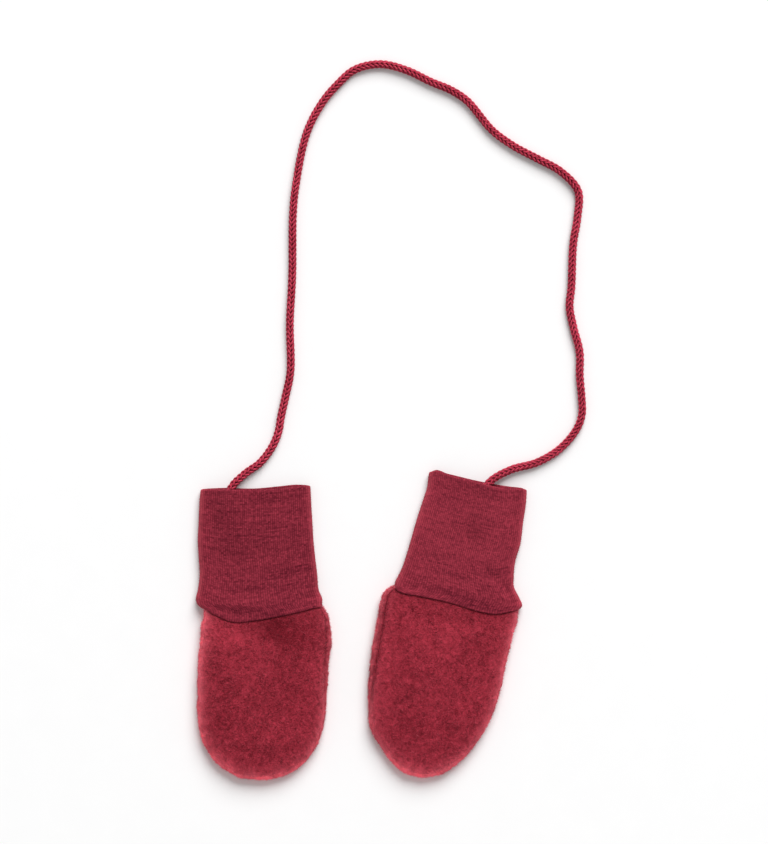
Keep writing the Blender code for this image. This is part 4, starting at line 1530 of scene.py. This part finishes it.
def jersey_material(name, settings, wale):
    """Fine jersey: streaks of dark and light wool along the courses, with uneven painted shade in the
    grooves and a painted rim highlight at the sides.
    """
    material, tree, shader = start_material(name, roughness=0.9, sheen=0.12)
    cloth = add_node(tree, "ShaderNodeUVMap", uv_map="Cloth").outputs["UV"]
    knit = {"Vector": cloth, "Wale": wale * MM, "Course": settings.course * MM}
    stitches = add_node(tree, "ShaderNodeGroup", knit, node_tree=stitch_group())
    contrasts = {
        "Streaks": settings.streaks,
        "Wide Streaks": settings.wide_streaks,
        "Columns": settings.columns,
        "Stitches": settings.stitch_contrast,
        "Flecks": settings.flecks,
    }
    melange = add_node(tree, "ShaderNodeGroup", {**knit, **contrasts}, node_tree=knit_melange_group())
    colour = wool(tree, drifted(tree, melange.outputs["Tone"]), settings)
    colour = with_painted_rims(tree, settings, colour)
    # Painted shade in the grooves between the columns of stitches
    uneven = swing(tree, noise(tree, cloth, 150.0, 3.0), GROOVE_CLEAR, settings.groove_contrast)
    groove = maths(tree, "MULTIPLY", stitches.outputs["Groove"], clamp(tree, uneven, GROOVE_MOST))
    colour = mix_colour(tree, groove, colour, darker(settings.dark, GROOVE_PAINTED_SHADE))
    tree.links.new(colour, shader.inputs["Base Color"])
    wool_bump(tree, shader, stitches.outputs["Height"], strength=0.6, distance=0.0002)
    return material


def yarn_material(settings):
    """Soft plied yarn: mixed wool with slanting grooves, with painted shade where it lies deep in the
    cord.
    """
    material, tree, shader = start_material("Cord yarn", roughness=0.85, sheen=0.12)
    melange = add_node(tree, "ShaderNodeGroup", {"Vector": object_place(tree)}, node_tree=melange_group())
    colour = wool(tree, melange.outputs["Tone"], settings)
    # Painted shade on the yarn where it lies deep in the cord
    deep = maths(tree, "POWER", attribute(tree, "deep"), 1.5)
    colour = mix_colour(tree, deep, colour, darker(settings.dark, DEEP_PAINTED_SHADE))
    tree.links.new(colour, shader.inputs["Base Color"])
    yarn = add_node(tree, "ShaderNodeUVMap", uv_map="Cloth").outputs["UV"]
    yarn = add_node(tree, "ShaderNodeSeparateXYZ", {"Vector": yarn}).outputs
    round_yarn = maths(tree, "MULTIPLY", yarn["X"], 2.0)
    turns = maths(tree, "ADD", round_yarn, maths(tree, "MULTIPLY", yarn["Y"], 0.9))
    ply = maths(tree, "ABSOLUTE", maths(tree, "SINE", maths(tree, "MULTIPLY", turns, math.pi)))
    wool_bump(tree, shader, ply, strength=0.6, distance=0.00015)
    return material


def core_material(settings):
    """The inside of the cord, painted darker than the yarn as shade."""
    material, tree, shader = start_material("Cord core", roughness=1.0)
    shade = noise(tree, object_place(tree), 900.0, 2.0)
    colour = mix_colour(tree, shade, darker(settings.dark, DEEP_PAINTED_SHADE), (*settings.dark, 1))
    tree.links.new(colour, shader.inputs["Base Color"])
    return material


def floor_material():
    """Pale matt board with a faint grain."""
    material, tree, shader = start_material("Pale floor", roughness=0.9)
    grain = noise(tree, object_place(tree), 60.0, 3.0)
    pale = mix_colour(tree, grain, (0.885, 0.885, 0.885, 1), (0.905, 0.905, 0.905, 1))
    tree.links.new(pale, shader.inputs["Base Color"])
    return material


# Operators


class MITTENS_OT_stage(bpy.types.Operator):
    """Make the floor, the lights and the camera straight above"""

    bl_idname = "mittens.stage"
    bl_label = "Stage"

    def execute(self, context):
        settings = context.scene.mittens_stage
        signs = np.array([[-1, -1, 0], [1, -1, 0], [1, 1, 0], [-1, 1, 0]])
        corners = signs * FLOOR_HALF + [0, 0, FLOOR_HEIGHT]
        floor = make_piece("floor", corners, np.array([[0, 1, 2, 3]]), floor_material())

        lamp = bpy.data.lights.new("Key light", "AREA")
        lamp.shape = "DISK"
        lamp.size = KEY_SIZE
        lamp.energy = settings.key_power
        key = bpy.data.objects.new("Key light", lamp)
        key.location = KEY_PLACE
        towards = np.array([settings.view_x, KEY_TARGET_Y, 0.0]) - np.array(KEY_PLACE)
        key.rotation_euler = Vector(towards).to_track_quat("-Z", "Y").to_euler()
        context.scene.collection.objects.link(key)

        world = bpy.data.worlds.new("Studio")
        world.use_nodes = True
        background = world.node_tree.nodes["Background"]
        background.inputs["Color"].default_value = (1, 1, 1, 1)
        background.inputs["Strength"].default_value = settings.sky
        context.scene.world = world
        context.scene.view_settings.view_transform = "Standard"

        lens = bpy.data.cameras.new("Camera")
        lens.sensor_fit = "HORIZONTAL"
        lens.sensor_width = SENSOR_WIDTH
        lens.lens = SENSOR_WIDTH * settings.camera_height / settings.view_width
        camera = bpy.data.objects.new("Camera", lens)
        camera.location = (settings.view_x, settings.view_y, settings.camera_height)
        context.scene.collection.objects.link(camera)
        context.scene.camera = camera
        return {"FINISHED"}


class MITTENS_OT_cord(bpy.types.Operator):
    """Make the knitted cord along its route"""

    bl_idname = "mittens.cord"
    bl_label = "Cord"

    def execute(self, context):
        settings = context.scene.mittens_cord
        points, faces, uv, deep, core_points, core_faces, path = cord_meshes(settings)
        core = make_piece("cord_core", core_points, core_faces, core_material(settings))
        cord = make_piece("cord_yarn", points, faces, yarn_material(settings), {"deep": deep}, uv)
        fuzz = add_cord_fuzz(settings, fibre_material("Cord fuzz", settings))
        for piece in (core, cord, fuzz):
            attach(piece, "root")
        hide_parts("cord")
        return {"FINISHED"}


class MITTENS_OT_fleece(bpy.types.Operator):
    """Make the four fleece panels with their nap"""

    bl_idname = "mittens.fleece"
    bl_label = "Fleece panels"

    def execute(self, context):
        settings = context.scene.mittens_fleece
        cloth = fleece_material(settings)
        fibres = nap_material(settings)
        seed = NAP_SEED
        for mitten in (LEFT, RIGHT):
            for face, count in (("back", settings.back_fibres), ("front", settings.front_fibres)):
                piece, panel = add_fleece_panel(mitten, face, settings, cloth)
                nap = add_nap(f"{mitten.name}_fleece_{face}", panel, face, count, settings, fibres, seed)
                seed += 1
                for part in (piece, nap):
                    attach(part, "root")
                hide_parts(f"{mitten.name}_fleece_{face}")
        return {"FINISHED"}


class MITTENS_OT_cuffs(bpy.types.Operator):
    """Make both jersey cuffs"""

    bl_idname = "mittens.cuffs"
    bl_label = "Cuffs"

    def execute(self, context):
        settings = context.scene.mittens_cuff
        fibres = fibre_material("Jersey fuzz", settings)
        seed = CUFF_FUZZ_SEED
        for mitten in (LEFT, RIGHT):
            piece, outside = add_cuff(mitten, settings)
            fuzz = add_cuff_fuzz(f"{mitten.name}_cuff", outside, settings, fibres, seed)
            seed += 1
            for part in (piece, fuzz):
                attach(part, "root")
            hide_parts(f"{mitten.name}_cuff")
        return {"FINISHED"}


class MITTENS_PT_panel(bpy.types.Panel):
    """Buttons and settings of the mittens"""

    bl_label = "Pair of mittens"
    bl_space_type = "VIEW_3D"
    bl_region_type = "UI"
    bl_category = "Mittens"

    def draw(self, context):
        for operator, group in STEPS:
            box = self.layout.box()
            box.operator(operator.bl_idname)
            settings = getattr(context.scene, group)
            for name in settings.bl_rna.properties.keys():
                if name not in ("rna_type", "name"):
                    box.prop(settings, name)


STEPS = (
    (MITTENS_OT_stage, "mittens_stage"),
    (MITTENS_OT_cord, "mittens_cord"),
    (MITTENS_OT_fleece, "mittens_fleece"),
    (MITTENS_OT_cuffs, "mittens_cuff"),
)
GROUPS = {
    "mittens_stage": MittensStageSettings,
    "mittens_cord": MittensCordSettings,
    "mittens_fleece": MittensFleeceSettings,
    "mittens_cuff": MittensCuffSettings,
}


def register():
    """Register the settings, the operators and the panel."""
    for name, group in GROUPS.items():
        bpy.utils.register_class(group)
        setattr(bpy.types.Scene, name, bpy.props.PointerProperty(type=group))
    for operator, _ in STEPS:
        bpy.utils.register_class(operator)
    bpy.utils.register_class(MITTENS_PT_panel)


def unregister():
    """Take them all away again."""
    bpy.utils.unregister_class(MITTENS_PT_panel)
    for operator, _ in reversed(STEPS):
        bpy.utils.unregister_class(operator)
    for name, group in GROUPS.items():
        delattr(bpy.types.Scene, name)
        bpy.utils.unregister_class(group)


def main():
    """Make everything in order."""
    register()
    bpy.ops.mittens.stage()
    bpy.ops.mittens.cord()
    bpy.ops.mittens.fleece()
    bpy.ops.mittens.cuffs()


if __name__ == "__main__":
    main()
